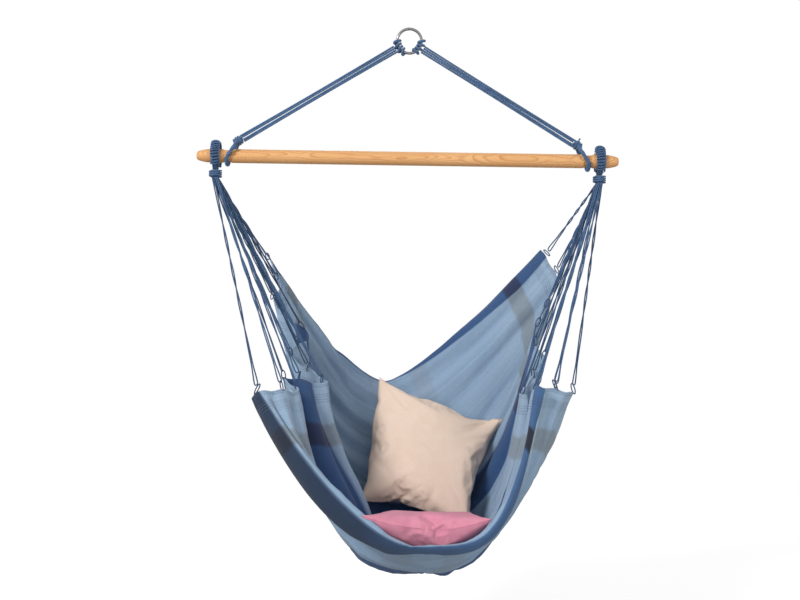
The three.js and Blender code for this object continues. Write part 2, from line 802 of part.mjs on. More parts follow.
function makeSeat() {
  const grid = clothGrid();
  const cloth = clothGeometry(grid);
  const back = settledCushion(backCushion, [cloth]);
  const seat = settledCushion(seatCushion, [cloth, back]);
  const shift = balanceShift(grid, [cloth, seat, back]);
  console.log('seat moved back by', shift.toFixed(1), 'to hang level');
  grid.flat().forEach((p) => {
    p.y += shift;
  });
  [cloth, seat, back].forEach((geometry) => geometry.translate(0, shift, 0));
  add('seat_cloth', cloth, clothBlue);
  add('seat_cushion', seat, coverPink);
  add('back_cushion', back, coverBeige);
  for (const [side, name] of [[-1, 'left'], [1, 'right']]) {
    stringsOf(grid, side).forEach((geometry, k) => {
      add(`${name}_seat_string_${String(k + 1).padStart(2, '0')}`, geometry, cordBlue);
    });
  }
}

makeRing();
makeBar();
for (const [side, name] of [[-1, 'left'], [1, 'right']]) {
  const reach = makeRingHitch(side, `${name}_ring_hitch`);
  makeHangingStrands(side, `${name}_hanging_strand`, reach);
  add(`${name}_bar_knot`, knotGeometry(side, 0), cordBlue);
  makeBarLoop(side, `${name}_bar_loop`);
  makeEndLoop(side, name);
  makeCollar(side, name);
}
makeSeat();

export default chair;
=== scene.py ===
# A hammock chair: steel ring, hanging cords, turned pine spreader bar, whipped seat loops,
# a fan of seat strings, a plaid cotton seat and two stuffed cushions.
# Metres, +Z up. The sitter looks along -Y. The origin is where the hook bears in the ring.

import math

import bpy
import numpy as np
from mathutils import Matrix, Vector
from mathutils.bvhtree import BVHTree


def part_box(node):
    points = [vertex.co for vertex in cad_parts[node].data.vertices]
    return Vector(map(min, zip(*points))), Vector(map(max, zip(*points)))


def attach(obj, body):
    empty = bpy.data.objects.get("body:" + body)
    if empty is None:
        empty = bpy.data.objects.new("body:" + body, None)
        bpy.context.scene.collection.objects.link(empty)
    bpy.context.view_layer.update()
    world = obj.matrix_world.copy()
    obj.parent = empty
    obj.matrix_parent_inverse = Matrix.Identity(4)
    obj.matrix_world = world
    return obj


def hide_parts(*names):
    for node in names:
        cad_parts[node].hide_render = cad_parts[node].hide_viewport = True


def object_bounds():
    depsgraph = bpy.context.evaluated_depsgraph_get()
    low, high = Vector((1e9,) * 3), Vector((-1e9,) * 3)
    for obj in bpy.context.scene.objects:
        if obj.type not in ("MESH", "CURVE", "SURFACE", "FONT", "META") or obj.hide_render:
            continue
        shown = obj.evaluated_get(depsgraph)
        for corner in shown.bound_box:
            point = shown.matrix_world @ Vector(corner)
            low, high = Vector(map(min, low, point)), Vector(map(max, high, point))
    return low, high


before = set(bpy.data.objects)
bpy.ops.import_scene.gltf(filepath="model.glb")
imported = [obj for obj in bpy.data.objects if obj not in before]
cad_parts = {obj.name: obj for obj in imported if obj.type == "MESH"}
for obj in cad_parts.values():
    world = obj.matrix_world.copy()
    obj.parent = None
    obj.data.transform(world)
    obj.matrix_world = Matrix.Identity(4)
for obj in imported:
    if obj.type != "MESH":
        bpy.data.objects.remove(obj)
cad_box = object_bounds()

MM = 0.001
SIDES = ((-1, "left"), (1, "right"))

# Camera and studio. A lamp has its place, what it is aimed at, its size and its watts

LENS = 50.0
CAMERA_AT = (-0.0144, -2.9, -0.704)
CAMERA_ROLL = -0.86
LAMPS = {
    "key_lamp": ((-3.0, -3.4, 1.75), (0.05, 0, -0.9), 1.5, 178),
    "fill_lamp": ((2.3, -2.3, -0.2), (0, 0, -0.7), 2.2, 19),
    "low_lamp": ((0.1, -3.3, -1.4), (0, 0, -1.2), 2.0, 15),
    "back_lamp": ((0.3, 2.6, 1.2), (0, 0, -0.8), 2.4, 18),
}
SKY_LIGHT = 0.41
FLOOR_BELOW = 0.24
FLOOR_SIDES = 64
FLOOR_GREY = 0.42
FLOOR_GLOW = 0.72
STAGE_RADIUS = 14.0
STAGE_CLEAR = 2.2
STAGE_FADE = 5.0

# Ring and hitches

RING_OUTSIDE = 71 * MM
RING_WIRE = 7.5 * MM
RING_RADIUS = (RING_OUTSIDE - RING_WIRE) / 2
RING_CENTRE_Z = -(RING_RADIUS - RING_WIRE / 2)
WELD_AT = math.radians(96)
WELD_BEAD = 0.35 * MM
HITCH_ANGLE = math.radians(31)
HITCH_CORD = 7 * MM
HITCH_TURNS = 4
HITCH_GAP = 0.8 * MM
SEAT_GAP = 0.3 * MM

# How each cord is laid: its plies, the dip between them, the points of its section, the length
# of one turn of its lay and the step along it

STRAND_LAY = (4, 0.08, 16, 26 * MM, 2.5 * MM)
TAIL_LAY = (3, 0.25, 12, 14 * MM, 1.2 * MM)
BAR_LOOP_LAY = (4, 0.3, 24, 75 * MM, 1.6 * MM)
END_LOOP_LAY = (3, 0.22, 12, 20 * MM, 1.6 * MM)
RAIL_LAY = (3, 0.18, 12, 30 * MM, 1.6 * MM)
STRING_LAY = (3, 0.12, 12, 13 * MM, 2.6 * MM)

# Hanging cords, their knots and the loops round the bar

STRAND_COUNT = 4
STRAND_DIAMETER = 5.4 * MM
STRAND_PITCH_AT_RING = 5.6 * MM
STRAND_PITCH_AT_KNOT = 5.0 * MM
STRAND_PARTING = 1.1 * MM
STRAND_CLOSER = 0.75 * MM
STRAND_STAGGER = 1.4 * MM
STRAND_STEPS = 24
KNOT_AT = 442 * MM
KNOT_RISE = 40 * MM
KNOT_OUTLINE = ((0, -13), (5, -13), (9, -6), (9.5, 2), (7, 12), (0, 13))
KNOT_WRAPPED = 23 * MM
KNOT_WRAP_RADIUS = 7.2 * MM
KNOT_CORD_RADIUS = 3.1 * MM
KNOT_SWELL = 0.38
RAIL_RADIUS = 2.3 * MM
BAR_LOOP_CORD = 11 * MM
BAR_LOOP_BUNDLE = 5.2 * MM
BAR_LOOP_WHIPPING = 0.85 * MM

# Spreader bar

BAR_LENGTH = 1100 * MM
BAR_DIAMETER = 36 * MM
BAR_Z = -335 * MM
BAR_TIP_DIAMETER = 22 * MM
BAR_TAPER = 46 * MM
BAR_GROOVE_AT = 470 * MM
BAR_GROOVE_WIDTH = 20 * MM
BAR_GROOVE_DEPTH = 2.5 * MM
BAR_EASE = 4 * MM
PITH_ABOVE_AXIS = 12 * MM
PITH_BEHIND_AXIS = 50 * MM

# Seat loops and collars

END_LOOP_AT = 501 * MM
LOOP_CORE_WIDTH = 14 * MM
LOOP_CORE_THICKNESS = 4.8 * MM
LOOP_STRAND_RADIUS = 2.4 * MM
LOOP_STRANDS = (-4.6 * MM, 0, 4.6 * MM)
WHIPPING_CORD = 4 * MM
WHIPPING_TURNS = 22
RAIL_PAST_WHIPPING = 1.2 * MM
LOOP_PEAK = 35 * MM
LOOP_PEAK_RADIUS = 17 * MM
LOOP_FOOT_DROP = 35 * MM
LOOP_FOOT_SPREAD = 15.6 * MM
WHIPPING_OUT = 1 / math.cos(math.pi / 9)
WHIPPING_ACROSS = (LOOP_CORE_WIDTH / 2 + SEAT_GAP + WHIPPING_CORD / 2) * WHIPPING_OUT
WHIPPING_UP = (LOOP_CORE_THICKNESS / 2 + SEAT_GAP + WHIPPING_CORD / 2) * WHIPPING_OUT
LOOP_BEARING = BAR_DIAMETER / 2 + SEAT_GAP * 2 + WHIPPING_UP + WHIPPING_CORD / 2
COLLAR_DIAMETER = 24 * MM
COLLAR_CORD = 4.6 * MM
COLLAR_TURNS = 3
COLLAR_FLUTES = (18, 0.12)
COLLAR_FOOT_Z, COLLAR_TOP_Z = (corner.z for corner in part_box("left_string_collar"))

# Seat strings

STRING_DIAMETER = 3.8 * MM
STRING_OPENING = 55 * MM
STRING_PAIRS = 14
STRING_TOP_PITCH = 4.1 * MM
STRING_BEND_RADIUS = 5 * MM
STRING_TWIST = 2
STRING_STEPS = 56
EYELET_CORD = 3 * MM
EYELET_WIDTH = 13 * MM
EYELET_ABOVE = 23.5 * MM
EYELET_BELOW = 6.5 * MM

# Seat cloth, as the fold lines' ends at the two hems and their middles: shares of half the
# seat's width, half its depth and its drop below the bar, and the power of each line's rise

SEAT_WIDTH = 800 * MM
SEAT_DEPTH = 640 * MM
SEAT_DROP = 1053 * MM
CLOTH_THICKNESS = 3 * MM
FLAT_WIDTH = 1.2
FLAT_LENGTH = 0.95
HEM_DEPTH = 50 * MM
LEFT_HEM_SHARE = (
    (-0.925, -0.6, 0.577, 2.3),
    (-0.85, -0.63, 0.56, 1.45),
    (-0.65, -0.42, 0.561, 1.8),
    (-0.768, -0.2, 0.538, 3),
    (-0.51, 0, 0.554, 2.3),
    (-0.77, 0.188, 0.482, 3.2),
    (-0.643, 0.344, 0.446, 2.8),
    (-0.903, 0.531, 0.355, 2.6),
    (-0.87, 0.625, 0.316, 2.1),
    (-0.978, 0.719, 0.227, 1.75),
)
RIGHT_HEM_SHARE = (
    (0.84, -0.66, 0.544, 4.6),
    (0.79, -0.61, 0.54, 4.2),
    (1.04, -0.42, 0.56, 2.6),
    (0.84, -0.2, 0.56, 3),
    (0.755, 0, 0.574, 2.5),
    (0.913, 0.156, 0.486, 3.4),
    (0.855, 0.313, 0.447, 3),
    (0.973, 0.469, 0.344, 2.8),
    (1.048, 0.594, 0.291, 1.9),
    (0.95, 0.75, 0.209, 1.35),
)
MIDDLE_SHARE = (
    (0.05, -0.994, 0.905),
    (0.05, -0.938, 0.89),
    (0.09, -0.703, 0.945),
    (0.14, -0.406, 0.985),
    (0.17, -0.094, 1),
    (0.16, 0.25, 0.985),
    (0.1, 0.51, 0.925),
    (0.02, 0.68, 0.82),
    (-0.06, 0.82, 0.69),
    (-0.12, 0.938, 0.57),
)
HEM_MEAN_SHARE = 0.86
PLEAT_POWER = 2.4

# What the scene adds to the CAD cloth. A fold has its place along and its depth, a lean its place
# and reach along and out and its shift. The last row gives the map of the right half's folds

CREASE_WIDTH = 0.15
CREASE_DEPTH = 15 * MM
CURL_REACH = 0.085
FRONT_CURL = (0, 28 * MM, -6 * MM)
LEFT_INNER_FOLDS = ((0.905, 14 * MM), (0.865, 32 * MM), (0.815, 30 * MM), (0.76, 26 * MM))
INNER_FOLD_AT = 0.42
INNER_FOLD_REACH = 0.17
INNER_FOLD_WIDTH = 0.0145
LEFT_PANEL_LEANS = (
    (0.444, 0.075, 0.62, 0.24, (52 * MM, 0, 8 * MM)),
    (0.21, 0.06, 0.72, 0.2, (-22 * MM, 0, -10 * MM)),
)
LEFT_FOLD_SHIFT = 0.026
RIGHT_FOLD_FROM = 0.86
RIGHT_FOLDED_AWAY = ((0, 0.262, 0.287, 0.45, 1), (0, 0.222, 0.333, 0.46, 1))

# Stripes along the cloth, bands and seams in from its hems, from one edge of each to the other

NAVY_STRIPES = ((-1.0, 0.034), (0.225, 0.33), (0.522, 0.598), (0.914, 2.0))
GREY_BANDS = ((0.112, 0.172),)
FAINT_BANDS = ((0.5, 0.56),)
HEM_SEAMS = (0.004, 0.009, 0.03, 0.036, 0.043, 0.05)

# Cushions. A tuck has its place on the cover, its width and its shift. A crease has its place,
# its turn in degrees, its width, its length and its depth

COVER_SIDE = 400 * MM
COVER_CELLS = 72
COVER_GAP = 0.6 * MM
COVER_SEARCH = 60 * MM
COVER_PUSH = 50 * MM
CREASE_FADE = 14 * MM
CUSHION_SIDE = 355 * MM
CUSHION_THICKNESS = 124 * MM
CUSHION_PULL = 0.045
SEAT_CUSHION = {
    "colour": "pink",
    "node": "seat_cushion",
    "seed": 23,
    "turn": (-13, 1.5, 0.5),
    "roll": 0,
    "pressed_share": (0.9, 0.93, 0.84),
    "bends": (35 * MM, 11 * MM, 0),
    "laid_bends": (22 * MM, 11 * MM, 0),
    "sunk": (0, 0, -43 * MM),
    "tucks": (
        (0.2, 0.2, 0.9, (0, 0, 8 * MM)),
        (1, -1, 0.5, (-14 * MM, 8 * MM, 5 * MM)),
        (1, 0, 0.5, (-5 * MM, 0, 0)),
        (-1, 1, 0.4, (14 * MM, -12 * MM, 8 * MM)),
    ),
    "creases": (
        (-0.72, -0.5, 40, 0.07, 0.35, 5 * MM),
        (-0.5, -0.72, 55, 0.06, 0.3, 4 * MM),
        (-0.2, -0.45, 80, 0.1, 0.4, 4 * MM),
        (0.62, -0.55, -45, 0.08, 0.35, 5 * MM),
        (0.35, -0.3, -70, 0.1, 0.4, 3 * MM),
        (0.75, -0.2, -20, 0.06, 0.25, 3.5 * MM),
    ),
}
BACK_CUSHION = {
    "colour": "beige",
    "node": "back_cushion",
    "seed": 11,
    "turn": (60, 0, 0),
    "roll": -17,
    "pressed_share": (1, 1, 1),
    "bends": (20 * MM, 6 * MM, 20 * MM),
    "laid_bends": (20 * MM, 6 * MM, 20 * MM),
    "sunk": (0, 0, 0),
    "tucks": (
        (-1, -1, 0.75, (42 * MM, 34 * MM, -40 * MM)),
        (-1, 1, 0.7, (-8 * MM, 0, -15 * MM)),
        (1, 1, 1.0, (0, 6 * MM, -25 * MM)),
        (0.62, 1, 0.4, (-4 * MM, 6 * MM, -13 * MM)),
    ),
    "creases": (
        (-0.86, 0.1, 8, 0.06, 0.22, 4 * MM),
        (-0.84, -0.12, -14, 0.07, 0.26, 5 * MM),
        (-0.8, -0.36, -30, 0.07, 0.3, 5 * MM),
        (0.72, 0.78, 52, 0.07, 0.3, 6 * MM),
        (0.84, 0.55, 40, 0.06, 0.25, 5 * MM),
        (0.86, 0.2, -12, 0.06, 0.22, 4 * MM),
        (0.82, -0.2, 12, 0.07, 0.24, 4 * MM),
        (0.3, -0.85, 78, 0.08, 0.24, 4 * MM),
        (-0.35, -0.84, -70, 0.07, 0.22, 3.5 * MM),
        (-0.1, 0.88, -84, 0.07, 0.18, 3 * MM),
    ),
}
INFLATING = {
    "quality": 6,
    "mass": 0.25,
    "tension_stiffness": 25,
    "compression_stiffness": 25,
    "shear_stiffness": 8,
    "bending_stiffness": 0.6,
    "tension_damping": 8,
    "compression_damping": 8,
    "shear_damping": 8,
    "air_damping": 4,
    "use_pressure": True,
    "uniform_pressure_force": 5.0,
}
INFLATED_AT = 34


# Objects, meshes and nodes: short ways to place them and to feed them

def place_object(name, data):
    placed = bpy.data.objects.new(name, data)
    bpy.context.collection.objects.link(placed)
    return placed


def make_mesh(points, faces=(), edges=()):
    mesh = bpy.data.meshes.new("shape")
    mesh.from_pydata(points, edges, faces)
    mesh.shade_smooth()
    return mesh


def feed(tree, node, feeds):
    """Gives inputs of a node their values, or links them where a value is a socket."""
    for key, value in feeds.items():
        if isinstance(value, bpy.types.NodeSocket):
            tree.links.new(value, node.inputs[key])
        else:
            node.inputs[key].default_value = value


def place_node(tree, kind, feeds=None, **settings):
    node = tree.nodes.new(kind)
    for key, value in settings.items():
        setattr(node, key, value)
    feed(tree, node, feeds or {})
    return node


def sum_of(tree, operation, *values):
    return place_node(tree, "ShaderNodeMath", dict(enumerate(values)), operation=operation).outputs[0]


def vector_of(tree, operation, *values, scale=None):
    feeds = dict(enumerate(values))
    if scale is not None:
        feeds["Scale"] = scale
    node = place_node(tree, "ShaderNodeVectorMath", feeds, operation=operation)
    return node.outputs["Value" if operation in ("DOT_PRODUCT", "LENGTH") else "Vector"]


def vector_parts(tree, vector):
    return place_node(tree, "ShaderNodeSeparateXYZ", {0: vector}).outputs


def vector_from(tree, *parts):
    return place_node(tree, "ShaderNodeCombineXYZ", dict(enumerate(parts))).outputs[0]


def map_range(tree, value, low, high, to_low=0.0, to_high=1.0, run="LINEAR"):
    feeds = {"Value": value, "From Min": low, "From Max": high, "To Min": to_low, "To Max": to_high}
    return place_node(tree, "ShaderNodeMapRange", feeds, interpolation_type=run).outputs[0]


def noise_of(tree, place, scale=1.0, detail=2.0, roughness=0.5):
    feeds = {"Vector": place, "Scale": scale, "Detail": detail, "Roughness": roughness}
    return place_node(tree, "ShaderNodeTexNoise", feeds).outputs[0]


def open_tree(name, kind, inputs, outputs):
    """A new tree. An input has its label, its kind and its first value, an output the first two."""
    tree = bpy.data.node_groups.new(name, kind)
    for label, socket_kind, value in inputs:
        socket = tree.interface.new_socket(label, in_out="INPUT", socket_type="NodeSocket" + socket_kind)
        if value is not None:
            socket.default_value = value
    for label, socket_kind in outputs:
        tree.interface.new_socket(label, in_out="OUTPUT", socket_type="NodeSocket" + socket_kind)
    entry = place_node(tree, "NodeGroupInput")
    result = place_node(tree, "NodeGroupOutput")
    return tree, entry.outputs, result.inputs


# Studio

def make_camera():
    camera = place_object("camera", bpy.data.cameras.new("camera"))
    camera.data.lens = LENS
    camera.data.sensor_width = 36.0
    camera.location = CAMERA_AT
    camera.rotation_euler = (math.radians(90), math.radians(CAMERA_ROLL), 0)
    bpy.context.scene.camera = camera


def make_lights():
    for name, (place, target, size, watts) in LAMPS.items():
        lamp = bpy.data.lights.new(name, "AREA")
        lamp.shape = "DISK"
        lamp.size = size
        lamp.energy = watts
        holder = place_object(name, lamp)
        holder.location = place
        aim = Vector(target) - Vector(place)
        holder.rotation_euler = aim.to_track_quat("-Z", "Y").to_euler()
        holder.visible_camera = False
    world = bpy.data.worlds.new("studio")
    world.use_nodes = True
    bpy.context.scene.world = world
    tree = world.node_tree
    rays = place_node(tree, "ShaderNodeLightPath").outputs
    seen = sum_of(tree, "MAXIMUM", rays["Is Camera Ray"], rays["Is Glossy Ray"])
    seen_through = sum_of(tree, "MAXIMUM", seen, rays["Is Transmission Ray"])
    strength = map_range(tree, seen_through, 0.0, 1.0, SKY_LIGHT)
    feed(tree, tree.nodes["Background"], {"Color": (1, 1, 1, 1), "Strength": strength})


def make_floor():
    """A pale disc under the chair that runs out into white, and keeps the chair's shadow."""
    low = cad_box[0][2] - FLOOR_BELOW
    turns = [2 * math.pi * k / FLOOR_SIDES for k in range(FLOOR_SIDES)]
    corners = [(STAGE_RADIUS * math.cos(turn), STAGE_RADIUS * math.sin(turn), low) for turn in turns]
    floor = place_object("floor", make_mesh(corners, [tuple(range(FLOOR_SIDES))]))
    material = bpy.data.materials.new("pale_floor")
    material.use_nodes = True
    tree = material.node_tree
    shader = tree.nodes["Principled BSDF"]
    camera_ray = place_node(tree, "ShaderNodeLightPath").outputs["Is Camera Ray"]
    feed(tree, shader, {
        "Base Color": (FLOOR_GREY, FLOOR_GREY, FLOOR_GREY, 1),
        "Roughness": 0.8,
        "Specular IOR Level": 0.1,
        "Emission Color": (1, 1, 1, 1),
        "Emission Strength": sum_of(tree, "MULTIPLY", camera_ray, FLOOR_GLOW),
    })
    away = vector_of(tree, "LENGTH", place_node(tree, "ShaderNodeTexCoord").outputs["Object"])
    fade = map_range(tree, away, STAGE_CLEAR, STAGE_FADE, run="SMOOTHSTEP")
    white = place_node(tree, "ShaderNodeEmission").outputs[0]
    blend = place_node(tree, "ShaderNodeMixShader", {0: fade, 1: shader.outputs[0], 2: white})
    feed(tree, tree.nodes["Material Output"], {"Surface": blend.outputs[0]})
    floor.data.materials.append(material)


# Geometry Nodes trees: each grows its shape from a path or from points

def open_shape(name, sizes):
    inputs = [("Geometry", "Geometry", None), *sizes, ("Material", "Material", None)]
    return open_tree(name, "GeometryNodeTree", inputs, [("Geometry", "Geometry")])


def close_shape(tree, shape, sockets, result):
    """Smooth faces, real triangles and the finish, at the end of each tree."""
    smooth = place_node(tree, "GeometryNodeSetShadeSmooth", {"Geometry": shape}).outputs[0]
    real = place_node(tree, "GeometryNodeRealizeInstances", {"Geometry": smooth}).outputs[0]
    feeds = {"Geometry": real, "Material": sockets["Material"]}
    finish = place_node(tree, "GeometryNodeSetMaterial", feeds)
    tree.links.new(finish.outputs[0], result["Geometry"])
    return tree


def path_of(tree, sockets):
    return place_node(tree, "GeometryNodeMeshToCurve", {0: sockets["Geometry"]}).outputs[0]


def round_section(tree, radius, points):
    feeds = {"Resolution": points, "Radius": radius}
    return place_node(tree, "GeometryNodeCurvePrimitiveCircle", feeds).outputs["Curve"]


def moved(tree, shape, **feeds):
    """A shape with its points at a new Position, or moved by an Offset."""
    return place_node(tree, "GeometryNodeSetPosition", {"Geometry": shape, **feeds}).outputs[0]


def swept(tree, path, section, capped=True):
    feeds = {"Curve": path, "Profile Curve": section, "Fill Caps": capped}
    return place_node(tree, "GeometryNodeCurveToMesh", feeds).outputs[0]


def lobed_section(tree, sockets):
    """The section of a laid cord: a circle with one lobe for each ply."""
    circle = round_section(tree, sockets["Cord Radius"], sockets["Section Points"])
    here = place_node(tree, "GeometryNodeInputPosition").outputs[0]
    parts = vector_parts(tree, here)
    angle = sum_of(tree, "ARCTAN2", parts[1], parts[0])
    lobe = sum_of(tree, "COSINE", sum_of(tree, "MULTIPLY", angle, sockets["Plies"]))
    half_depth = sum_of(tree, "MULTIPLY", sockets["Ply Depth"], 0.5)
    dip = sum_of(tree, "MULTIPLY", sum_of(tree, "SUBTRACT", 1.0, lobe), half_depth)
    scaled = vector_of(tree, "SCALE", here, scale=sum_of(tree, "SUBTRACT", 1.0, dip))
    return moved(tree, circle, Position=scaled)


def make_laid_cord_tree():
    """A laid cord along a path, with a lobed section that turns as it goes."""
    tree, sockets, result = open_shape("laid_cord", [
        ("Cord Radius", "Float", 0.002),
        ("Plies", "Float", 3.0),
        ("Ply Depth", "Float", 0.24),
        ("Section Points", "Int", 12),
        ("Lay Pitch", "Float", 0.014),
        ("Step", "Float", 0.0025),
    ])
    feeds = {"Curve": path_of(tree, sockets), "Length": sockets["Step"]}
    even = place_node(tree, "GeometryNodeResampleCurve", feeds, mode="LENGTH").outputs[0]
    along = place_node(tree, "GeometryNodeSplineParameter").outputs["Length"]
    turns = sum_of(tree, "DIVIDE", along, sockets["Lay Pitch"])
    feeds = {"Curve": even, "Tilt": sum_of(tree, "MULTIPLY", turns, 2 * math.pi)}
    laid = place_node(tree, "GeometryNodeSetCurveTilt", feeds).outputs[0]
    return close_shape(tree, swept(tree, laid, lobed_section(tree, sockets)), sockets, result)


def make_winding_tree():
    """A cord wound round a path, with half sizes of its own across and up."""
    tree, sockets, result = open_shape("winding", [
        ("Turns", "Float", 4.0),
        ("Steps", "Int", 24),
        ("Half Across", "Float", 0.01),
        ("Half Up", "Float", 0.01),
        ("Swell", "Float", 0.0),
        ("Across", "Vector", (1.0, 0.0, 0.0)),
        ("Cord Radius", "Float", 0.002),
        ("Section Points", "Int", 8),
    ])
    count = sum_of(tree, "ADD", sum_of(tree, "MULTIPLY", sockets["Turns"], sockets["Steps"]), 1.0)
    feeds = {"Curve": path_of(tree, sockets), "Count": count}
    even = place_node(tree, "GeometryNodeResampleCurve", feeds, mode="COUNT").outputs[0]
    factor = place_node(tree, "GeometryNodeSplineParameter").outputs["Factor"]
    angle = sum_of(tree, "MULTIPLY", sum_of(tree, "MULTIPLY", factor, sockets["Turns"]), 2 * math.pi)
    tangent = place_node(tree, "GeometryNodeInputTangent").outputs[0]
    slip = vector_of(tree, "DOT_PRODUCT", sockets["Across"], tangent)
    leaning = vector_of(tree, "SCALE", tangent, scale=slip)
    across = vector_of(tree, "NORMALIZE", vector_of(tree, "SUBTRACT", sockets["Across"], leaning))
    up = vector_of(tree, "CROSS_PRODUCT", tangent, across)
    bulge = sum_of(tree, "SINE", sum_of(tree, "MULTIPLY", factor, math.pi))
    swell = sum_of(tree, "ADD", 1.0, sum_of(tree, "MULTIPLY", bulge, sockets["Swell"]))
    reaches = []
    for way, half, wave in ((across, "Half Across", "COSINE"), (up, "Half Up", "SINE")):
        swollen = sum_of(tree, "MULTIPLY", sockets[half], swell)
        reach = sum_of(tree, "MULTIPLY", swollen, sum_of(tree, wave, angle))
        reaches.append(vector_of(tree, "SCALE", way, scale=reach))
    wound = moved(tree, even, Offset=vector_of(tree, "ADD", *reaches))
    section = round_section(tree, sockets["Cord Radius"], sockets["Section Points"])
    return close_shape(tree, swept(tree, wound, section), sockets, result)


def make_stitch_tree():
    """A row of stitches along a path."""
    tree, sockets, result = open_shape("stitches", [
        ("Spacing", "Float", 0.004),
        ("Stitch Length", "Float", 0.003),
        ("Thread Width", "Float", 0.0009),
    ])
    feeds = {"Curve": path_of(tree, sockets), "Length": sockets["Spacing"]}
    spots = place_node(tree, "GeometryNodeCurveToPoints", feeds, mode="LENGTH").outputs
    stitch = place_node(tree, "GeometryNodeMeshIcoSphere", {"Radius": 0.5, "Subdivisions": 1})
    size = vector_from(tree, sockets["Thread Width"], sockets["Thread Width"], sockets["Stitch Length"])
    sewn = place_node(tree, "GeometryNodeInstanceOnPoints", {
        "Points": spots["Points"],
        "Instance": stitch.outputs["Mesh"],
        "Rotation": spots["Rotation"],
        "Scale": size,
    })
    return close_shape(tree, sewn.outputs[0], sockets, result)


def make_eyelet_tree():
    """An oval eyelet of cord at each point, turned as its point says."""
    tree, sockets, result = open_shape("eyelets", [
        ("Half Width", "Float", 0.005),
        ("Half Height", "Float", 0.0135),
        ("Cord Radius", "Float", 0.0015),
    ])
    size = vector_from(tree, sockets["Half Width"], sockets["Half Height"], 1.0)
    here = place_node(tree, "GeometryNodeInputPosition").outputs[0]
    oval = moved(tree, round_section(tree, 1.0, 28), Position=vector_of(tree, "MULTIPLY", here, size))
    cord = swept(tree, oval, round_section(tree, sockets["Cord Radius"], 8), False)
    turn = place_node(tree, "GeometryNodeInputNamedAttribute", {"Name": "turn"}, data_type="FLOAT_VECTOR")
    hung = place_node(tree, "GeometryNodeInstanceOnPoints", {
        "Points": sockets["Geometry"],
        "Instance": cord,
        "Rotation": place_node(tree, "FunctionNodeEulerToRotation", {0: turn.outputs[0]}).outputs[0],
    })
    return close_shape(tree, hung.outputs[0], sockets, result)


def line_mesh(lines):
    """A mesh of open polylines, which the trees take as their paths."""
    points = []
    edges = []
    for line in lines:
        first = len(points)
        points.extend(tuple(p) for p in line)
        edges.extend((first + k, first + k + 1) for k in range(len(line) - 1))
    return make_mesh(points, edges=edges)


def grow(tree, mesh, values):
    """The plain mesh that a tree makes of a path or of points."""
    source = place_object("path", mesh)
    modifier = source.modifiers.new("grow", "NODES")
    modifier.node_group = tree
    for item in tree.interface.items_tree:
        if item.item_type == "SOCKET" and item.in_out == "INPUT" and item.name in values:
            modifier[item.identifier] = values[item.name]
    depsgraph = bpy.context.evaluated_depsgraph_get()
    made = bpy.data.meshes.new_from_object(source.evaluated_get(depsgraph), depsgraph=depsgraph)
    source.modifiers.remove(modifier)
    bpy.data.objects.remove(source)
    bpy.data.meshes.remove(mesh)
    return made


def lay(line, finish, radius, cord_lay):
    """A laid cord along a line."""
    plies, depth, points, pitch, step = cord_lay
    return grow(trees["laid"], line_mesh([line]), {
        "Cord Radius": radius,
        "Plies": float(plies),
        "Ply Depth": depth,
        "Section Points": points,
        "Lay Pitch": pitch,
        "Step": step,
        "Material": finishes[finish],
    })


def wind(line, turns, steps, half_sizes, radius, points, across=(1.0, 0.0, 0.0), swell=0.0):
    """A cord wound round a line in even steps."""
    return grow(trees["winding"], line_mesh([line]), {
        "Turns": float(turns),
        "Steps": steps,
        "Half Across": half_sizes[0],
        "Half Up": half_sizes[1],
        "Swell": swell,
        "Across": across,
        "Cord Radius": radius,
        "Section Points": points,
        "Material": finishes["cord"],
    })


def sew(lines, finish, spacing, length, width):
    """Rows of stitches along lines."""
    return grow(trees["stitch"], line_mesh(lines), {
        "Spacing": spacing,
        "Stitch Length": length,
        "Thread Width": width,
        "Material": finishes[finish],
    })


def joined(meshes):
    """One mesh of several that share one finish."""
    points = []
    faces = []
    for mesh in meshes:
        first = len(points)
        points.extend(tuple(v.co) for v in mesh.vertices)
        faces.extend(tuple(first + i for i in polygon.vertices) for polygon in mesh.polygons)
        bpy.data.meshes.remove(mesh)
    return make_mesh(points, faces)


def add_piece(name, mesh, body, slot, finish, *nodes):
    """A piece of the chair: its body and finish, and the CAD nodes that it replaces. Its slot is not used.
    """
    mesh.name = name
    mesh.materials.clear()
    mesh.materials.append(finishes[finish])
    piece = place_object(name, mesh)
    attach(piece, body)
    if nodes:
        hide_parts(*nodes)
    return piece


def add_cord(name, body, node, route, finish, diameter, cord_lay):
    """A laid cord that the chair holds at both ends."""
    cord = lay(route, finish, diameter / 2, cord_lay)
    piece = add_piece(name, cord, body, "cord", finish, node)


# Shared shader groups

def open_effect(name, inputs, outputs):
    return open_tree(name, "ShaderNodeTree", inputs, [(label, "Float") for label in outputs])


def close_effect(tree, result, values):
    for label, value in values.items():
        tree.links.new(value, result[label])
    return tree


def add_effect(tree, group, feeds):
    return place_node(tree, "ShaderNodeGroup", feeds, node_tree=group).outputs


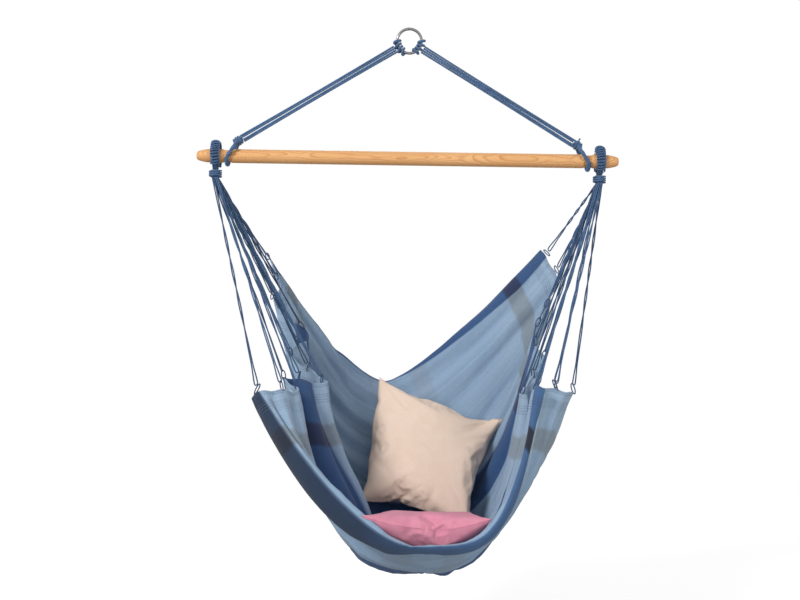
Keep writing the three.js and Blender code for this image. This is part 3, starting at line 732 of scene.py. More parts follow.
def make_weave_group():
    """Plain weave over a map in metres: which thread lies on top, its height, and its slubs."""
    inputs = [("Across", "Float", 0.0), ("Along", "Float", 0.0), ("Thread Pitch", "Float", 0.0016)]
    tree, sockets, result = open_effect("weave", inputs, ("Over", "Height", "Slub"))
    waves = []
    for key in ("Across", "Along"):
        count = sum_of(tree, "DIVIDE", sockets[key], sockets["Thread Pitch"])
        waves.append(sum_of(tree, "SINE", sum_of(tree, "MULTIPLY", count, math.pi)))
    checker = sum_of(tree, "MULTIPLY", *waves)
    over = sum_of(tree, "MULTIPLY_ADD", checker, 0.5, 0.5)
    place = vector_from(tree, sockets["Across"], sockets["Along"])
    slubs = []
    for stretch in ((60.0, 620.0, 0.0), (620.0, 60.0, 0.0)):
        slubs.append(noise_of(tree, vector_of(tree, "MULTIPLY", place, stretch), 1.0, 3.0, 0.6))
    slub = sum_of(tree, "MULTIPLY", sum_of(tree, "ADD", *slubs), 0.5)
    ridges = sum_of(tree, "MULTIPLY", sum_of(tree, "ABSOLUTE", checker), 0.7)
    height = sum_of(tree, "ADD", ridges, sum_of(tree, "MULTIPLY", slub, 0.6))
    return close_effect(tree, result, {"Over": over, "Height": height, "Slub": slub})


def make_fibre_group():
    """Loose cotton fibres on a cord: their tone and height, and a slow fade."""
    inputs = [("Place", "Vector", None), ("Fineness", "Float", 900.0)]
    tree, sockets, result = open_effect("fibres", inputs, ("Tone", "Height", "Fade"))
    fine = noise_of(tree, sockets["Place"], sockets["Fineness"], 4.0, 0.65)
    broad = noise_of(tree, sockets["Place"], 38.0)
    return close_effect(tree, result, {"Tone": fine, "Height": fine, "Fade": broad})


def make_grain_group():
    """Flat-sawn grain of a turned bar that lies along X: growth rings and long pores."""
    inputs = [("Place", "Vector", None), ("Rings Per Metre", "Float", 250.0)]
    tree, sockets, result = open_effect("wood_grain", inputs, ("Ring", "Pore", "Broad"))
    place = sockets["Place"]
    parts = vector_parts(tree, place)
    wander = noise_of(tree, vector_of(tree, "MULTIPLY", place, (5.0, 14.0, 14.0)), roughness=0.45)
    shift = sum_of(tree, "MULTIPLY", sum_of(tree, "SUBTRACT", wander, 0.5), 0.05)
    aside = sum_of(tree, "ADD", sum_of(tree, "ADD", parts[1], shift), PITH_BEHIND_AXIS)
    height = sum_of(tree, "ADD", parts[2], -BAR_Z - PITH_ABOVE_AXIS)
    flat = sum_of(tree, "MULTIPLY", height, 0.7)
    squares = [sum_of(tree, "POWER", part, 2.0) for part in (aside, flat)]
    from_pith = sum_of(tree, "SQRT", sum_of(tree, "ADD", *squares))
    count = sum_of(tree, "MULTIPLY", from_pith, sockets["Rings Per Metre"])
    ring = sum_of(tree, "POWER", sum_of(tree, "FRACT", count), 2.2)
    pore = noise_of(tree, vector_of(tree, "MULTIPLY", place, (26.0, 900.0, 900.0)))
    return close_effect(tree, result, {"Ring": ring, "Pore": pore, "Broad": wander})


# Finishes

def linear(red, green, blue):
    """A colour in eight-bit sRGB, as the shaders want it."""
    shares = (red / 255, green / 255, blue / 255)
    curve = [s / 12.92 if s <= 0.04045 else ((s + 0.055) / 1.055) ** 2.4 for s in shares]
    return (*curve, 1.0)


def open_finish(name, metallic=0.0, sheen=0.0):
    material = bpy.data.materials.new(name)
    material.use_nodes = True
    tree = material.node_tree
    feed(tree, tree.nodes["Principled BSDF"], {
        "Metallic": metallic,
        "Sheen Weight": sheen,
        "Sheen Roughness": 0.5,
        "Specular IOR Level": 0.5 if metallic else 0.25,
    })
    return material, tree


def close_finish(tree, colour, roughness, height, distance, strength):
    bump = place_node(tree, "ShaderNodeBump", {"Height": height, "Distance": distance, "Strength": strength})
    feeds = {"Base Color": colour, "Roughness": roughness, "Normal": bump.outputs[0]}
    feed(tree, tree.nodes["Principled BSDF"], feeds)


def blend_colours(tree, share, first, second):
    return place_node(tree, "ShaderNodeMix", {0: share, 6: first, 7: second}, data_type="RGBA").outputs[2]


def shade_colours(tree, value, low, high, first, second):
    """From one colour to another while a value goes from low to high."""
    return blend_colours(tree, map_range(tree, value, low, high), linear(*first), linear(*second))


def object_place(tree):
    return place_node(tree, "ShaderNodeTexCoord").outputs["Object"]


def thread_place(tree):
    return place_node(tree, "ShaderNodeUVMap", uv_map="threads").outputs[0]


def band_mask(tree, value, bands, soft, whole):
    """1 inside the bands of a value that runs from 0 to whole, 0 outside, with soft edges."""
    ramp = place_node(tree, "ShaderNodeValToRGB", {0: sum_of(tree, "DIVIDE", value, whole)})
    stops = ramp.color_ramp.elements
    marks = [(0.0, float(bands[0][0] <= 0)), (1.0, float(bands[-1][1] >= whole))]
    for stop, (place, shade) in zip(stops, marks):
        stop.position = place
        stop.color = (shade, shade, shade, 1)
    for low, high in bands:
        for place, shade in ((low - soft / 2, 0.0), (low + soft / 2, 1.0),
                             (high - soft / 2, 1.0), (high + soft / 2, 0.0)):
            if 0.0 < place / whole < 1.0:
                stop = stops.new(place / whole)
                stop.color = (shade, shade, shade, 1)
    return ramp.outputs[0]


def make_cloth_finish(weave):
    """Plaid cotton: navy stripes along it, grey bands across it, its threads and its hem seams, with painted
    shade on the front edge stripe.
    """
    material, tree = open_finish("plaid_cotton", sheen=0.15)
    place = thread_place(tree)
    parts = vector_parts(tree, place)
    across = parts[0]
    along = parts[1]
    from_hem = sum_of(tree, "MINIMUM", across, sum_of(tree, "SUBTRACT", FLAT_WIDTH, across))

    rolled_in = map_range(tree, across, 0.6, 1.06, 0.032, 0.0)
    rolled = sum_of(tree, "MULTIPLY", rolled_in, map_range(tree, across, 0.02, 0.09))
    rolled = sum_of(tree, "MULTIPLY", rolled, map_range(tree, along, 0.84, 0.86))
    shown = sum_of(tree, "SUBTRACT", along, rolled)
    navy = band_mask(tree, shown, NAVY_STRIPES, 0.002, FLAT_LENGTH)
    edge = band_mask(tree, along, NAVY_STRIPES[:1], 0.002, FLAT_LENGTH)
    grey = band_mask(tree, from_hem, GREY_BANDS, 0.009, FLAT_WIDTH / 2)
    faint = band_mask(tree, from_hem, FAINT_BANDS, 0.01, FLAT_WIDTH / 2)
    seams = band_mask(tree, from_hem, [(s - 0.0008, s + 0.0008) for s in HEM_SEAMS], 0.001, 0.06)

    streak = noise_of(tree, vector_of(tree, "MULTIPLY", place, (0.0, 70.0, 0.0)))
    pale = shade_colours(tree, streak, 0.3, 0.7, (146, 171, 197), (160, 184, 206))
    steel_blue = shade_colours(tree, streak, 0.3, 0.7, (136, 162, 190), (152, 177, 202))
    inner = map_range(tree, from_hem, 0.155, 0.34, run="SMOOTHSTEP")
    ground = blend_colours(tree, inner, pale, steel_blue)
    ground = blend_colours(tree, sum_of(tree, "MULTIPLY", faint, 0.2), ground, linear(134, 130, 134))
    ground = blend_colours(tree, sum_of(tree, "MULTIPLY", grey, 0.62), ground, linear(128, 135, 139))
    dark = blend_colours(tree, grey, linear(52, 84, 130), linear(44, 54, 88))
    # Front edge stripe: its navy is painted darker towards the left, painted shade of the edge that folds
    # under there; in the middle and on the right it keeps its own mid-blue. Where the grey band crosses it,
    # a near-black crossing colour that holds painted shade as well as the pattern.
    edge_navy_painted_shade = shade_colours(tree, across, 0.45, 0.75, (27, 43, 68), (64, 98, 142))
    deep = blend_colours(tree, grey, edge_navy_painted_shade, linear(28, 35, 52))
    striped = blend_colours(tree, edge, dark, deep)
    plaid = blend_colours(tree, sum_of(tree, "MULTIPLY", navy, 0.96), ground, striped)

    threads = add_effect(tree, weave, {"Across": across, "Along": along, "Thread Pitch": 0.0016})
    thread_tone = map_range(tree, threads["Over"], 0.0, 1.0, 0.9, 1.07)
    slub_tone = map_range(tree, threads["Slub"], 0.3, 0.7, 0.86, 1.12)
    seam_tone = map_range(tree, seams, 0.0, 1.0, 1.0, 0.8)
    tone = sum_of(tree, "MULTIPLY", sum_of(tree, "MULTIPLY", thread_tone, slub_tone), seam_tone)
    rough = map_range(tree, threads["Slub"], 0.3, 0.7, 0.82, 0.98)
    height = sum_of(tree, "SUBTRACT", threads["Height"], seams)
    close_finish(tree, vector_of(tree, "SCALE", plaid, scale=tone), rough, height, 0.0006, 0.8)
    return material


def make_cord_finish(fibres, name, light, dark, fineness=900.0):
    material, tree = open_finish(name, sheen=0.2)
    fuzz = add_effect(tree, fibres, {"Place": object_place(tree), "Fineness": fineness})
    tint = shade_colours(tree, fuzz["Tone"], 0.3, 0.68, dark, light)
    fade = map_range(tree, fuzz["Fade"], 0.3, 0.7, 0.86, 1.14)
    rough = map_range(tree, fuzz["Tone"], 0.3, 0.7, 0.95, 0.75)
    close_finish(tree, vector_of(tree, "SCALE", tint, scale=fade), rough, fuzz["Height"], 0.0005, 0.7)
    return material


def make_cover_finish(weave, fibres, name, colour, shade):
    material, tree = open_finish(name, sheen=0.1)
    parts = vector_parts(tree, thread_place(tree))
    threads = add_effect(tree, weave, {"Across": parts[0], "Along": parts[1], "Thread Pitch": 0.0012})
    soft = add_effect(tree, fibres, {"Place": object_place(tree), "Fineness": 260.0})
    tint = shade_colours(tree, soft["Fade"], 0.35, 0.65, shade, colour)
    slub_tone = map_range(tree, threads["Slub"], 0.3, 0.7, 0.93, 1.05)
    thread_tone = map_range(tree, threads["Over"], 0.0, 1.0, 0.97, 1.02)
    tone = sum_of(tree, "MULTIPLY", slub_tone, thread_tone)
    rough = map_range(tree, threads["Slub"], 0.3, 0.7, 0.84, 0.96)
    close_finish(tree, vector_of(tree, "SCALE", tint, scale=tone), rough, threads["Height"], 0.0004, 0.6)
    return material


def make_pine_finish(grain):
    material, tree = open_finish("oiled_pine")
    wood = add_effect(tree, grain, {"Place": object_place(tree), "Rings Per Metre": 260.0})
    early = shade_colours(tree, wood["Broad"], 0.35, 0.65, (216, 163, 108), (225, 174, 120))
    ring_share = map_range(tree, wood["Ring"], 0.25, 1.0, 0.0, 0.8)
    ringed = blend_colours(tree, ring_share, early, linear(186, 121, 68))
    pore = map_range(tree, wood["Pore"], 0.62, 0.8, 1.0, 0.86)
    rough = map_range(tree, wood["Ring"], 0.0, 1.0, 0.52, 0.42)
    height = sum_of(tree, "SUBTRACT", wood["Pore"], wood["Ring"])
    close_finish(tree, vector_of(tree, "SCALE", ringed, scale=pore), rough, height, 0.00025, 0.5)
    return material


def make_steel_finish(fibres):
    material, tree = open_finish("polished_steel", metallic=1.0)
    marks = add_effect(tree, fibres, {"Place": object_place(tree), "Fineness": 420.0})
    tint = shade_colours(tree, marks["Tone"], 0.35, 0.7, (150, 149, 151), (108, 107, 110))
    rough = map_range(tree, marks["Tone"], 0.3, 0.75, 0.2, 0.42)
    close_finish(tree, tint, rough, marks["Height"], 0.00008, 0.35)
    return material


def make_finishes():
    weave = make_weave_group()
    fibres = make_fibre_group()
    grain = make_grain_group()
    made = {
        "steel": make_steel_finish(fibres),
        "pine": make_pine_finish(grain),
        "cloth": make_cloth_finish(weave),
        "beige": make_cover_finish(weave, fibres, "beige_cover", (240, 217, 198), (238, 213, 193)),
        "pink": make_cover_finish(weave, fibres, "pink_cover", (222, 146, 168), (216, 138, 160)),
    }
    for key, name, light, dark, fineness in (
        ("cord", "blue_cotton_cord", (82, 114, 152), (46, 72, 108), 900.0),
        ("dark_cord", "navy_cotton_cord", (68, 96, 132), (38, 60, 94), 900.0),
        ("thread", "sewing_thread", (112, 138, 166), (84, 108, 138), 1600.0),
        ("beige_thread", "beige_thread", (224, 196, 172), (196, 166, 142), 1600.0),
        ("pink_thread", "pink_thread", (204, 124, 148), (172, 98, 122), 1600.0),
    ):
        made[key] = make_cord_finish(fibres, name, light, dark, fineness)
    return made


# Paths

def ring_point(angle):
    return Vector((RING_RADIUS * math.cos(angle), 0, RING_CENTRE_Z + RING_RADIUS * math.sin(angle)))


def hitch_point(side):
    point = ring_point(-HITCH_ANGLE)
    point.x *= side
    return point


def knot_point(side):
    return Vector((side * KNOT_AT, 0, BAR_Z + KNOT_RISE))


def smooth_step(value, low, high):
    share = min(max((value - low) / (high - low), 0.0), 1.0)
    return share * share * (3 - 2 * share)


def bar_loop_path(side, steps=44, inset=2):
    """Out of the knot, down one side of the bar, under it in the groove, and back up."""
    over_bar = BAR_DIAMETER / 2 + SEAT_GAP * 2 + BAR_LOOP_CORD / 2
    in_groove = over_bar - BAR_GROOVE_DEPTH
    points = []
    for i in range(steps + 1):
        turn = math.pi * ((2 * i) / steps - 1)
        lift = smooth_step(abs(turn), math.pi / 4, math.pi / 2)
        close = smooth_step(abs(turn), math.pi / 2, math.pi)
        bearing = in_groove + (over_bar - in_groove) * lift
        reach = bearing + (KNOT_RISE - bearing) * close
        shift = smooth_step(abs(turn), math.pi / 3, math.pi)
        x = BAR_GROOVE_AT + (KNOT_AT - BAR_GROOVE_AT) * shift
        points.append(Vector((side * x, -reach * math.sin(turn), BAR_Z - reach * math.cos(turn))))
    return points[inset:len(points) - inset]


def loop_path(side, shift=0.0):
    """Up one side of an end loop, over the bar and down: an arc at its peak, an arc on the bar and
    a straight leg, each as (out, up) from the axis of the bar."""
    peak_centre = LOOP_PEAK - LOOP_PEAK_RADIUS
    meet = math.acos((LOOP_BEARING - LOOP_PEAK_RADIUS) / peak_centre)
    foot_out = LOOP_FOOT_SPREAD / 2
    foot_turn = math.atan2(foot_out, -LOOP_FOOT_DROP)
    leave = foot_turn - math.acos(LOOP_BEARING / math.hypot(foot_out, LOOP_FOOT_DROP))
    half = []
    for i in range(12):
        turn = meet * i / 12
        half.append((LOOP_PEAK_RADIUS * math.sin(turn), peak_centre + LOOP_PEAK_RADIUS * math.cos(turn)))
    for i in range(17):
        turn = meet + (leave - meet) * i / 16
        half.append((LOOP_BEARING * math.sin(turn), LOOP_BEARING * math.cos(turn)))
    out, up = half[-1]
    for i in range(1, 7):
        half.append((out + (foot_out - out) * i / 6, up + (-LOOP_FOOT_DROP - up) * i / 6))
    x = side * END_LOOP_AT + shift
    front = [Vector((x, -out, BAR_Z + up)) for out, up in reversed(half[1:])]
    back = [Vector((x, out, BAR_Z + up)) for out, up in half]
    return front + back


# Turned shapes

def eased(profile, cut, steps=4):
    """The same outline with its inner corners rounded, each by an arc that starts cut away from it."""
    points = [Vector(profile[0])]
    for before, here, after in zip(profile, profile[1:], profile[2:]):
        here = Vector(here)
        back = Vector(before) - here
        ahead = Vector(after) - here
        start = here + back.normalized() * min(cut, back.length * 0.45)
        end = here + ahead.normalized() * min(cut, ahead.length * 0.45)
        for i in range(steps + 1):
            t = i / steps
            points.append(start * (1 - t) ** 2 + here * (2 * t * (1 - t)) + end * t ** 2)
    points.append(Vector(profile[-1]))
    return points


def lathe_mesh(profile, sides, along, origin, flutes=(0, 0.0)):
    """A solid turned round an axis. profile holds (radius, place along the axis) from end to end."""
    axis = Vector(along).normalized()
    helper = Vector((0, 1, 0)) if abs(axis.y) < 0.7 else Vector((1, 0, 0))
    first = axis.cross(helper).normalized()
    second = axis.cross(first)
    points = [Vector(origin) + axis * profile[0][1]]
    for radius, place in profile[1:-1]:
        for k in range(sides):
            turn = 2 * math.pi * k / sides
            reach = radius * (1 - flutes[1] * (0.5 - 0.5 * math.cos(flutes[0] * turn)))
            out = first * math.cos(turn) + second * math.sin(turn)
            points.append(Vector(origin) + axis * place + out * reach)
    points.append(Vector(origin) + axis * profile[-1][1])
    rings = len(profile) - 2
    last = 1 + (rings - 1) * sides
    faces = []
    for k in range(sides):
        after = (k + 1) % sides
        faces.append((0, 1 + after, 1 + k))
        faces.append((len(points) - 1, last + k, last + after))
        for r in range(rings - 1):
            a = 1 + r * sides
            faces.append((a + k, a + after, a + sides + after, a + sides + k))
    return make_mesh(points, faces)


def make_ring():
    """The steel ring, with a low weld bead near its top."""
    around = 144
    sides = 28
    points = []
    faces = []
    for i in range(around):
        angle = 2 * math.pi * i / around
        away = abs((angle - WELD_AT + math.pi) % (2 * math.pi) - math.pi)
        bead = WELD_BEAD * math.exp(-(away / 0.05) ** 2) * (1 + 0.25 * math.sin(140 * angle))
        wire = RING_WIRE / 2 + bead
        out = Vector((math.cos(angle), 0, math.sin(angle)))
        here = i * sides
        ahead = (i + 1) % around * sides
        for k in range(sides):
            turn = 2 * math.pi * k / sides
            reach = RING_RADIUS + wire * math.cos(turn)
            points.append(out * reach + Vector((0, wire * math.sin(turn), RING_CENTRE_Z)))
            after = (k + 1) % sides
            faces.append((here + k, here + after, ahead + after, ahead + k))
    add_piece("steel_ring", make_mesh(points, faces), "root", "steel", "steel", "hanging_ring")


def make_bar():
    """The turned bar: a groove near each end, a tapered tip and eased corners."""
    radius = BAR_DIAMETER / 2
    groove = radius - BAR_GROOVE_DEPTH
    half = BAR_LENGTH / 2
    tip = BAR_TIP_DIAMETER / 2
    ease = BAR_GROOVE_DEPTH
    side_profile = [
        (radius, BAR_GROOVE_AT - BAR_GROOVE_WIDTH / 2 - ease),
        (groove, BAR_GROOVE_AT - BAR_GROOVE_WIDTH / 2 + ease),
        (groove, BAR_GROOVE_AT + BAR_GROOVE_WIDTH / 2 - ease),
        (radius, BAR_GROOVE_AT + BAR_GROOVE_WIDTH / 2 + ease),
        (radius, half - BAR_TAPER),
        (tip + (radius - tip) * 0.9, half - BAR_TAPER * 0.6),
        (tip + (radius - tip) * 0.45, half - BAR_TAPER * 0.22),
        (tip, half - ease),
        (tip - ease, half),
        (0.0, half),
    ]
    middle = [(radius, x) for x in np.linspace(-0.4, 0.4, 9)]
    left = [(r, -x) for r, x in reversed(side_profile)]
    profile = eased(left + middle + side_profile, BAR_EASE)
    bar = lathe_mesh(profile, 96, (1, 0, 0), (0, 0, BAR_Z))
    add_piece("pine_bar", bar, "bar", "pine", "pine", "spreader_bar")


# Cords, knots and loops

def make_hitches():
    """The turns of the hanging cords round the ring."""
    for side, name in SIDES:
        out = (RING_WIRE / 2 + SEAT_GAP + HITCH_CORD / 2) / math.cos(math.pi / 10)
        pitch = (HITCH_CORD + HITCH_GAP) * (RING_RADIUS / (RING_RADIUS - out))
        half_arc = pitch * HITCH_TURNS / RING_RADIUS / 2
        middle = -HITCH_ANGLE if side > 0 else math.pi + HITCH_ANGLE
        arc = [ring_point(middle - side * half_arc * (1 - 2 * i / 60)) for i in range(61)]
        wraps = wind(arc, HITCH_TURNS, 24, (out, out), HITCH_CORD / 2, 12, (0.0, 1.0, 0.0))
        add_piece(f"{name}_lark_head", wraps, "root", "cord", "cord", f"{name}_ring_hitch")


def make_hanging_cords():
    """The strands from the ring to the knots. They close up midway and lie in pairs."""
    for side, name in SIDES:
        top = hitch_point(side)
        bottom = knot_point(side)
        across = Vector((0, 1, 0)).cross((bottom - top).normalized())
        for k in range(STRAND_COUNT):
            node = f"{name}_hanging_strand_{k + 1}"
            inner_x, outer_x = (corner.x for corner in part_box(node)[::side])
            place = k - (STRAND_COUNT - 1) / 2
            parting = math.copysign(STRAND_PARTING, place)
            start = top + across * place * STRAND_PITCH_AT_RING
            end = bottom + across * (place * STRAND_PITCH_AT_KNOT + parting)
            line = end - start
            first = start + line * max((inner_x - start.x) / line.x, 0.0)
            last = start + line * min((outer_x - start.x) / line.x, 1.0)
            points = []
            for i in range(STRAND_STEPS + 1):
                share = i / STRAND_STEPS
                midway = math.sin(math.pi * share)
                closer = across * (-STRAND_CLOSER * midway * place)
                depth = Vector((0, 1, 0)) * (STRAND_STAGGER * midway * (1 if k % 2 else -1))
                points.append(first.lerp(last, share) + closer + depth)
            add_cord(f"{name}_hanging_cord_{k + 1}", "hanging_cords", node, points, "cord",
                     STRAND_DIAMETER, STRAND_LAY)


def make_knots():
    """The knots over the bar: turns of cord round a core, and a cut tail on the right one."""
    outline = eased([(radius * MM, place * MM) for radius, place in KNOT_OUTLINE], 3 * MM)
    across = Vector((0, 1, 0))
    for side, name in SIDES:
        centre = knot_point(side)
        along = (hitch_point(side) - centre).normalized()
        wrapped = [centre + along * (KNOT_WRAPPED * (i / 20 - 0.5)) for i in range(21)]
        half_sizes = (KNOT_WRAP_RADIUS, KNOT_WRAP_RADIUS)
        meshes = [
            lathe_mesh(outline, 32, along, centre),
            wind(wrapped, 3.5, 28, half_sizes, KNOT_CORD_RADIUS, 12, tuple(across), KNOT_SWELL),
        ]
        if side > 0:
            upward = across.cross(along)
            tail = []
            for i in range(13):
                share = i / 12
                lean = along * (4 * MM * math.sin(2.2 * share)) - across * 4 * MM * (1 - share)
                tail.append(centre + upward * (8 * MM + 12 * MM * share) + lean)
            meshes.append(lay(tail, "cord", RAIL_RADIUS, TAIL_LAY))
        add_piece(f"{name}_knot", joined(meshes), "hanging_cords", "cord", "cord", f"{name}_bar_knot")


def make_bar_loops():
    """The bundles under the bar, each with a fine whipping where it shows."""
    for side, name in SIDES:
        path = bar_loop_path(side)
        bundle = lay(path, "cord", BAR_LOOP_BUNDLE, BAR_LOOP_LAY)
        wrapped = path[8:26] if side < 0 else path[14:30]
        out = BAR_LOOP_BUNDLE - BAR_LOOP_WHIPPING * 0.1
        whipping = wind(wrapped, 13, 20, (out, out), BAR_LOOP_WHIPPING, 8)
        loop = joined([bundle, whipping])
        add_piece(f"{name}_bar_cord", loop, "hanging_cords", "cord", "cord", f"{name}_bar_loop")


def make_end_loops():
    """The loops over the bar: three laid strands, their whipping and the rail beside it."""
    for side, name in SIDES:
        strands = []
        for shift in LOOP_STRANDS:
            strands.append(lay(loop_path(side, shift), "dark_cord", LOOP_STRAND_RADIUS, END_LOOP_LAY))
        add_piece(f"{name}_loop_bundle", joined(strands), "seat", "cord", "dark_cord", f"{name}_end_loop")
        half_sizes = (WHIPPING_ACROSS, WHIPPING_UP)
        whipping = wind(loop_path(side)[3:-3], WHIPPING_TURNS, 28, half_sizes, WHIPPING_CORD / 2, 10)
        beside = loop_path(side, WHIPPING_ACROSS + RAIL_PAST_WHIPPING)[2:-2]
        whole = joined([whipping, lay(beside, "cord", RAIL_RADIUS, RAIL_LAY)])
        add_piece(f"{name}_loop_whipping_cord", whole, "seat", "cord", "cord", f"{name}_loop_whipping")


def make_collars():
    """The fluted bundles that the strings leave from, and their wraps."""
    height = COLLAR_TOP_Z - COLLAR_FOOT_Z
    radius = COLLAR_DIAMETER / 2
    profile = eased([(0, 0.0), (radius, 0.0), (radius, height), (0, height)], 1.5 * MM)
    out = (radius + SEAT_GAP + COLLAR_CORD / 2) / math.cos(math.pi / 12)
    for side, name in SIDES:
        x = side * END_LOOP_AT
        drum = lathe_mesh(profile, 144, (0, 0, 1), (x, 0, COLLAR_FOOT_Z), COLLAR_FLUTES)
        add_piece(f"{name}_collar_bundle", drum, "seat", "cord", "dark_cord", f"{name}_string_collar")
        top = Vector((x, 0, COLLAR_TOP_Z - COLLAR_CORD / 2))
        foot = Vector((x, 0, COLLAR_FOOT_Z + COLLAR_CORD / 2))
        line = [top.lerp(foot, i / 12) for i in range(13)]
        wraps = wind(line, COLLAR_TURNS, 48, (out, out), COLLAR_CORD / 2, 14)
        add_piece(f"{name}_collar_cord", wraps, "seat", "cord", "cord", f"{name}_collar_wrap")


# Seat cloth

def fold_curve(rows, stations):
    """A centripetal curve through a table of places, at stations from 0 to 1, even in its rows."""
    shares = np.array([row[:3] for row in rows], dtype=float)
    points = shares * (SEAT_WIDTH / 2, SEAT_DEPTH / 2, -SEAT_DROP) + (0, 0, BAR_Z)
    padded = np.vstack([2 * points[0] - points[1], points, 2 * points[-1] - points[-2]])
    place = stations * (len(points) - 1)
    cell = np.minimum(place.astype(int), len(points) - 2)
    t = (place - cell)[:, None]
    p0, p1, p2, p3 = (padded[cell + k] for k in range(4))
    d0, d1, d2 = (np.sum((b - a) ** 2, axis=1)[:, None] ** 0.25 for a, b in ((p0, p1), (p1, p2), (p2, p3)))
    t1 = ((p1 - p0) / d0 - (p2 - p0) / (d0 + d1) + (p2 - p1) / d1) * d1
    t2 = ((p2 - p1) / d1 - (p3 - p1) / (d1 + d2) + (p3 - p2) / d2) * d1
    return spanned(p1, p2, t1, t2, t)


def fold_power(rows, stations):
    powers = np.array([row[3] for row in rows], dtype=float)
    padded = np.concatenate([powers[:1], powers, powers[-1:]])
    place = stations * (len(powers) - 1)
    cell = np.minimum(place.astype(int), len(powers) - 2)
    p0, p1, p2, p3 = (padded[cell + k] for k in range(4))
    return spanned(p1, p2, (p2 - p0) / 2, (p3 - p1) / 2, place - cell)


def spanned(start, end, leaving, arriving, t):
    """A cubic from start to end with its slope at each."""
    bend = -3 * start + 3 * end - 2 * leaving - arriving
    return start + leaving * t + bend * t ** 2 + (2 * start - 2 * end + leaving + arriving) * t ** 3


def seat_surface(across, along, shift):
    """Points of the seat, one row for each place along and one column for each place across."""
    middle = fold_curve(MIDDLE_SHARE, along)[:, None, :]
    on_left = (across < 0)[None, :]
    out = np.abs(across)[None, :]
    left, right = (fold_curve(rows, along)[:, None, :] for rows in (LEFT_HEM_SHARE, RIGHT_HEM_SHARE))
    hem = np.where(on_left[..., None], left, right)
    left, right = (fold_power(rows, along)[:, None] for rows in (LEFT_HEM_SHARE, RIGHT_HEM_SHARE))
    power = np.where(on_left, left, right)
    mean_x = np.sign(across)[None, :] * HEM_MEAN_SHARE * (SEAT_WIDTH / 2)
    points = middle + (hem - middle) * (out ** power)[..., None]
    points[..., 0] = middle[..., 0] + (mean_x - middle[..., 0]) * out
    points[..., 0] += (hem[..., 0] - mean_x) * out ** PLEAT_POWER
    points[..., 1] += shift
    return points


def spread(count, closer):
    even = np.linspace(-1, 1, count + 1)
    return np.sign(even) * np.abs(even) ** closer


def balance_shift():
    """How far the CAD cloth was moved back so that the seat hangs level."""
    plain = seat_surface(COARSE_ACROSS, COARSE_ALONG, 0.0)
    low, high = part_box("seat_cloth")
    return (low.y + high.y) / 2 - (plain[..., 1].min() + plain[..., 1].max()) / 2


COARSE_ACROSS = spread(21, 0.85)
COARSE_ALONG = np.linspace(0, 1, 28)
FINE_ACROSS = spread(224, 0.72)
FINE_ALONG = np.linspace(0, 1, 169)
SEAT_SHIFT = balance_shift()


def surface_normals(points):
    right = np.gradient(points, axis=1)
    back = np.gradient(points, axis=0)
    normal = np.cross(right, back)
    return normal / np.linalg.norm(normal, axis=2, keepdims=True)


def running_length(points, axis):
    steps = np.linalg.norm(np.diff(points, axis=axis), axis=2)
    total = np.cumsum(steps, axis=axis)
    return np.concatenate([np.zeros_like(np.take(total, [0], axis=axis)), total], axis=axis)


def bell(value, width):
    return np.exp(-(value / width) ** 2)


def soft_noise(cells_across, cells_along, seed):
    """Smooth random waves from -1 to 1 over the fine sheet."""
    rng = np.random.default_rng(seed)
    table = rng.uniform(-1, 1, (cells_along + 2, cells_across + 2))
    place_a = (FINE_ACROSS + 1) / 2 * cells_across
    place_s = FINE_ALONG * cells_along
    cell_a = np.minimum(place_a.astype(int), cells_across - 1)
    cell_s = np.minimum(place_s.astype(int), cells_along - 1)
    ta = place_a - cell_a
    ts = place_s - cell_s
    ta = (ta * ta * (3 - 2 * ta))[None, :]
    ts = (ts * ts * (3 - 2 * ts))[:, None]
    rows = cell_s[:, None]
    columns = cell_a[None, :]
    low = table[rows, columns] * (1 - ta) + table[rows, columns + 1] * ta
    high = table[rows + 1, columns] * (1 - ta) + table[rows + 1, columns + 1] * ta
    return low * (1 - ts) + high * ts


def pair_phase(edge):
    """Which string pair a place on a hem belongs to, as a running number, by length along the hem."""
    lengths = running_length(edge[:, None, :], 0)[:, 0]
    margin = 0.35
    return lengths / lengths[-1] * (STRING_PAIRS - 1 + 2 * margin) - margin


def fold_strengths(phase, seed):
    """A strength for each fold at a hem, eased from one fold to the next."""
    rng = np.random.default_rng(seed)
    table = rng.uniform(0.35, 1.25, STRING_PAIRS + 3)
    return np.interp(phase, np.arange(-1, STRING_PAIRS + 2), table)


